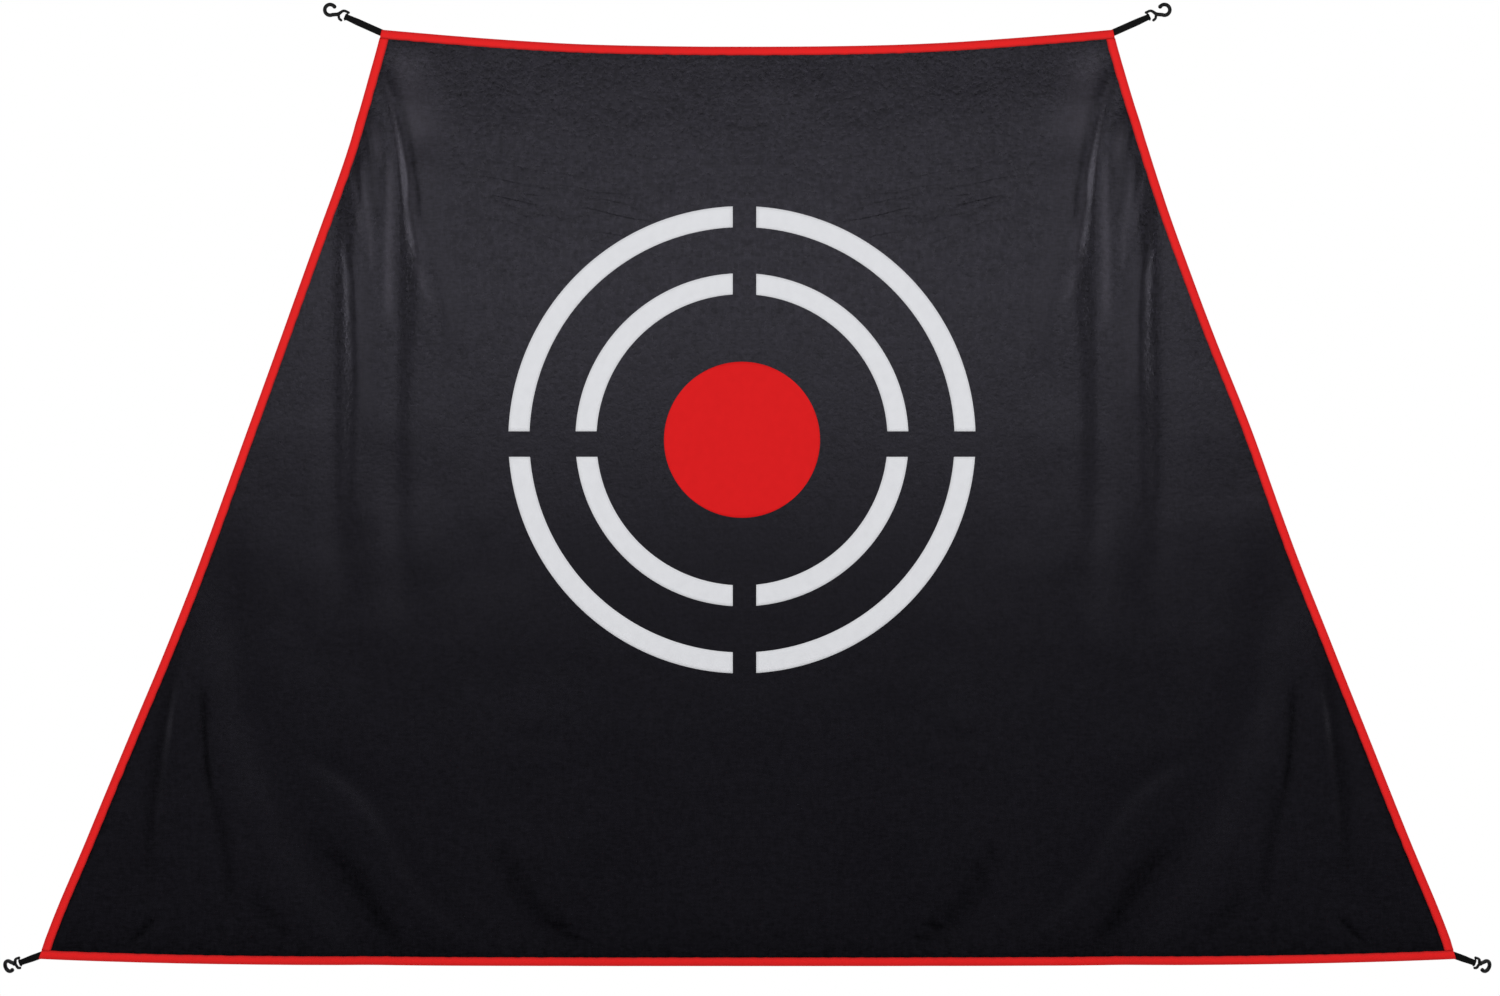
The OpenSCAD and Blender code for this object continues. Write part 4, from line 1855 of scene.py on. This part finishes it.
    def hook(self) -> Piece:
        """Hangs the moulded hook in the strap's loop.

        A top hook is turned over. A bottom hook leans to the rear by
        bottom_lean.

        Returns:
            The hook.
        """
        shell = self._hook_shell()
        if self.corner.top:
            shell.points = shell.points * np.array([1.0, 1.0, -1.0])
        else:
            lean = math.radians(self.bottom_lean)
            c, s = math.cos(lean), math.sin(lean)
            shell.points = shell.points @ np.array([[c, s, 0.0], [-s, c, 0.0], [0.0, 0.0, 1.0]])
        shell.points = shell.points + np.array([self.length, 0.0, 0.0])
        name = self.corner.value
        return self.wardrobe.hang(
            f"{name}_moulded_hook", self._moved(shell), self.finishes.plastic, "hook",
            f"{name}_hook", (f"{name}_hook",),
        )


# ------------------------------------------------------------------ studio


@dataclass(frozen=True)
class Softbox:
    """A soft rectangular lamp: its middle, what it faces, its size and watts."""

    name: str
    where: Triple
    aim: Triple
    size: tuple[float, float]
    watts: float

    def hang(self) -> None:
        """Adds the lamp to the scene, unseen by the camera."""
        data = bpy.data.lights.new(self.name, "AREA")
        data.shape, data.size, data.size_y = "RECTANGLE", self.size[0], self.size[1]
        data.energy = self.watts
        lamp = bpy.data.objects.new(self.name, data)
        lamp.location = self.where
        way = np.array(self.aim) - np.array(self.where)
        flat = math.hypot(way[0], way[1])
        lamp.rotation_euler = (
            math.atan2(flat, -way[2]), 0.0, math.atan2(way[1], way[0]) - math.pi / 2
        )
        lamp.visible_camera = False
        bpy.context.scene.collection.objects.link(lamp)


@dataclass
class Studio:
    """Camera, light, floor and backdrop."""

    aim: tuple[float, float] = (0.0054, -0.97625)
    distance: float = 5.8333
    lens: float = 70.0
    sensor: float = 36.0
    ambient: float = 0.52
    floor_z: float = -2.21
    floor_y: float = -0.65
    floor_w: float = 3.1
    floor_d: float = 1.78
    floor_fade: tuple[float, float] = (0.55, 0.98)
    floor_rings: int = 8
    floor_sides: int = 64

    def camera(self) -> None:
        """Sets the camera square in front of the sheet."""
        data = bpy.data.cameras.new("Camera")
        data.lens, data.sensor_width = self.lens, self.sensor
        data.clip_start, data.clip_end = 0.05, 60.0
        eye = bpy.data.objects.new("Camera", data)
        eye.location = (self.aim[0], -self.distance, self.aim[1])
        eye.rotation_euler = (math.pi / 2, 0.0, 0.0)
        bpy.context.scene.collection.objects.link(eye)
        bpy.context.scene.camera = eye

    def lamps(self) -> None:
        """Hangs a long strip above the camera and a softbox to each side."""
        Softbox(
            "Strip", where=(0.0, -2.6, -0.25), aim=(0.0, 0.0, -0.55), size=(3.8, 1.1), watts=25.0
        ).hang()
        for side in (-1.0, 1.0):
            Softbox(
                "Side box", where=(side * 3.65, -2.1, -0.5), aim=(side * 0.5, 0.0, -0.8),
                size=(0.8, 1.3), watts=24.0,
            ).hang()

    def backdrop(self) -> None:
        """White all round for the camera, dim for what the cloth mirrors.

        Glossy and see-through rays meet the white only where it is behind
        the object, as in a room whose front is dark.
        """
        world = bpy.data.worlds.new("Studio")
        world.use_nodes = True
        world.cycles.sampling_method = "NONE"
        bpy.context.scene.world = world
        world.node_tree.nodes.clear()
        bench = NodeBench(world.node_tree)
        rays = bench.add("LightPath").outputs
        where = bench.add("TexCoord").outputs["Generated"]
        depth = bench.add("SeparateXYZ", {0: where}).outputs[1]
        shiny = bench.maths("MAXIMUM", rays["Is Glossy Ray"], rays["Is Transmission Ray"])
        dim = bench.maths("MULTIPLY_ADD", bench.ranged(depth, -0.35, 0.35), 0.95, 0.05)
        seen = bench.add("Mix", {0: shiny, 2: self.ambient, 3: dim}).outputs[0]
        strength = bench.add("Mix", {0: rays["Is Camera Ray"], 2: seen, 3: 1.0}).outputs[0]
        light = bench.add("Background", {"Color": WHITE, "Strength": strength})
        bench.add("OutputWorld", {"Surface": light.outputs[0]})

    def _floor_material(self) -> Material:
        """Pale and dull, and see-through towards the rim.

        Returns:
            The floor's material.
        """
        material = bpy.data.materials.new("Pale floor")
        material.use_nodes = True
        bench = NodeBench(material.node_tree)
        where = bench.add("TexCoord").outputs["Object"]
        centred = bench.add("Mapping", {
            "Vector": where, "Location": (0.0, -self.floor_y / self.floor_d, 0.0),
            "Scale": (1 / self.floor_w, 1 / self.floor_d, 0.0),
        }).outputs[0]
        away = bench.add("VectorMath", {0: centred}, operation="LENGTH").outputs["Value"]
        grain = bench.add("TexNoise", {"Vector": where, "Scale": 3.0, "Detail": 3.0})
        bench.feed(material.node_tree.nodes["Principled BSDF"], {
            "Roughness": 0.9, "Specular IOR Level": 0.1,
            "Alpha": bench.ranged(
                away, *self.floor_fade, 1.0, 0.0, interpolation_type="SMOOTHSTEP"
            ),
            "Base Color": bench.mix(
                grain.outputs[0], (0.90, 0.90, 0.90, 1.0), (0.95, 0.95, 0.95, 1.0)
            ),
        })
        return material

    def floor(self) -> None:
        """Lays a pale oval floor that fades out at its rim."""
        rings, sides = self.floor_rings, self.floor_sides
        r = np.linspace(0.0, 1.0, rings + 1)[1:, None]
        angle = np.linspace(0.0, math.tau, sides, endpoint=False)[None, :]
        x = self.floor_w * r * np.cos(angle)
        y = self.floor_y + self.floor_d * r * np.sin(angle)
        points = np.stack([x, y, np.full_like(x, self.floor_z)], axis=-1).reshape(-1, 3)
        points = np.vstack([points, [[0.0, self.floor_y, self.floor_z]]])
        faces = quads(rings, sides, wrap=True).tolist()
        faces += [[k, (k + 1) % sides, len(points) - 1] for k in range(sides)]
        mesh = bpy.data.meshes.new("Floor")
        mesh.from_pydata(points.tolist(), [], faces)
        mesh.update()
        mesh.materials.append(self._floor_material())
        floor = bpy.data.objects.new("Floor", mesh)
        bpy.context.scene.collection.objects.link(floor)
        floor.visible_glossy = False


def main() -> None:
    """Builds the studio, the cloth, its binding and its four corners."""
    logging.basicConfig(level=logging.INFO, format="%(name)s: %(message)s")
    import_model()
    bpy.context.scene.view_settings.view_transform = "Standard"
    studio = Studio()
    studio.camera()
    studio.lamps()
    studio.backdrop()
    studio.floor()

    form, finishes, wardrobe = SheetForm(), Finishes(), Wardrobe()
    cloth = TargetCloth(form, finishes, wardrobe)
    sheet = cloth.sheet()
    prints = [
        cloth.ring("outer_ring", cloth.outer_ring_r),
        cloth.ring("inner_ring", cloth.inner_ring_r),
        cloth.bullseye(),
    ]
    binding = Binding(form, finishes, wardrobe)
    tapes = [binding.tape(edge) for edge in Edge]
    sewn = [binding.sewing(edge) for edge in Edge]
    for corner in Corner:
        strap = CornerStrap(form, finishes, wardrobe, corner)
        strap.webbing()
        strap.tacks()
        strap.hook()
    LOG.info("%d pieces", len(wardrobe.made))
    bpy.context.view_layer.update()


if __name__ == "__main__":
    main()
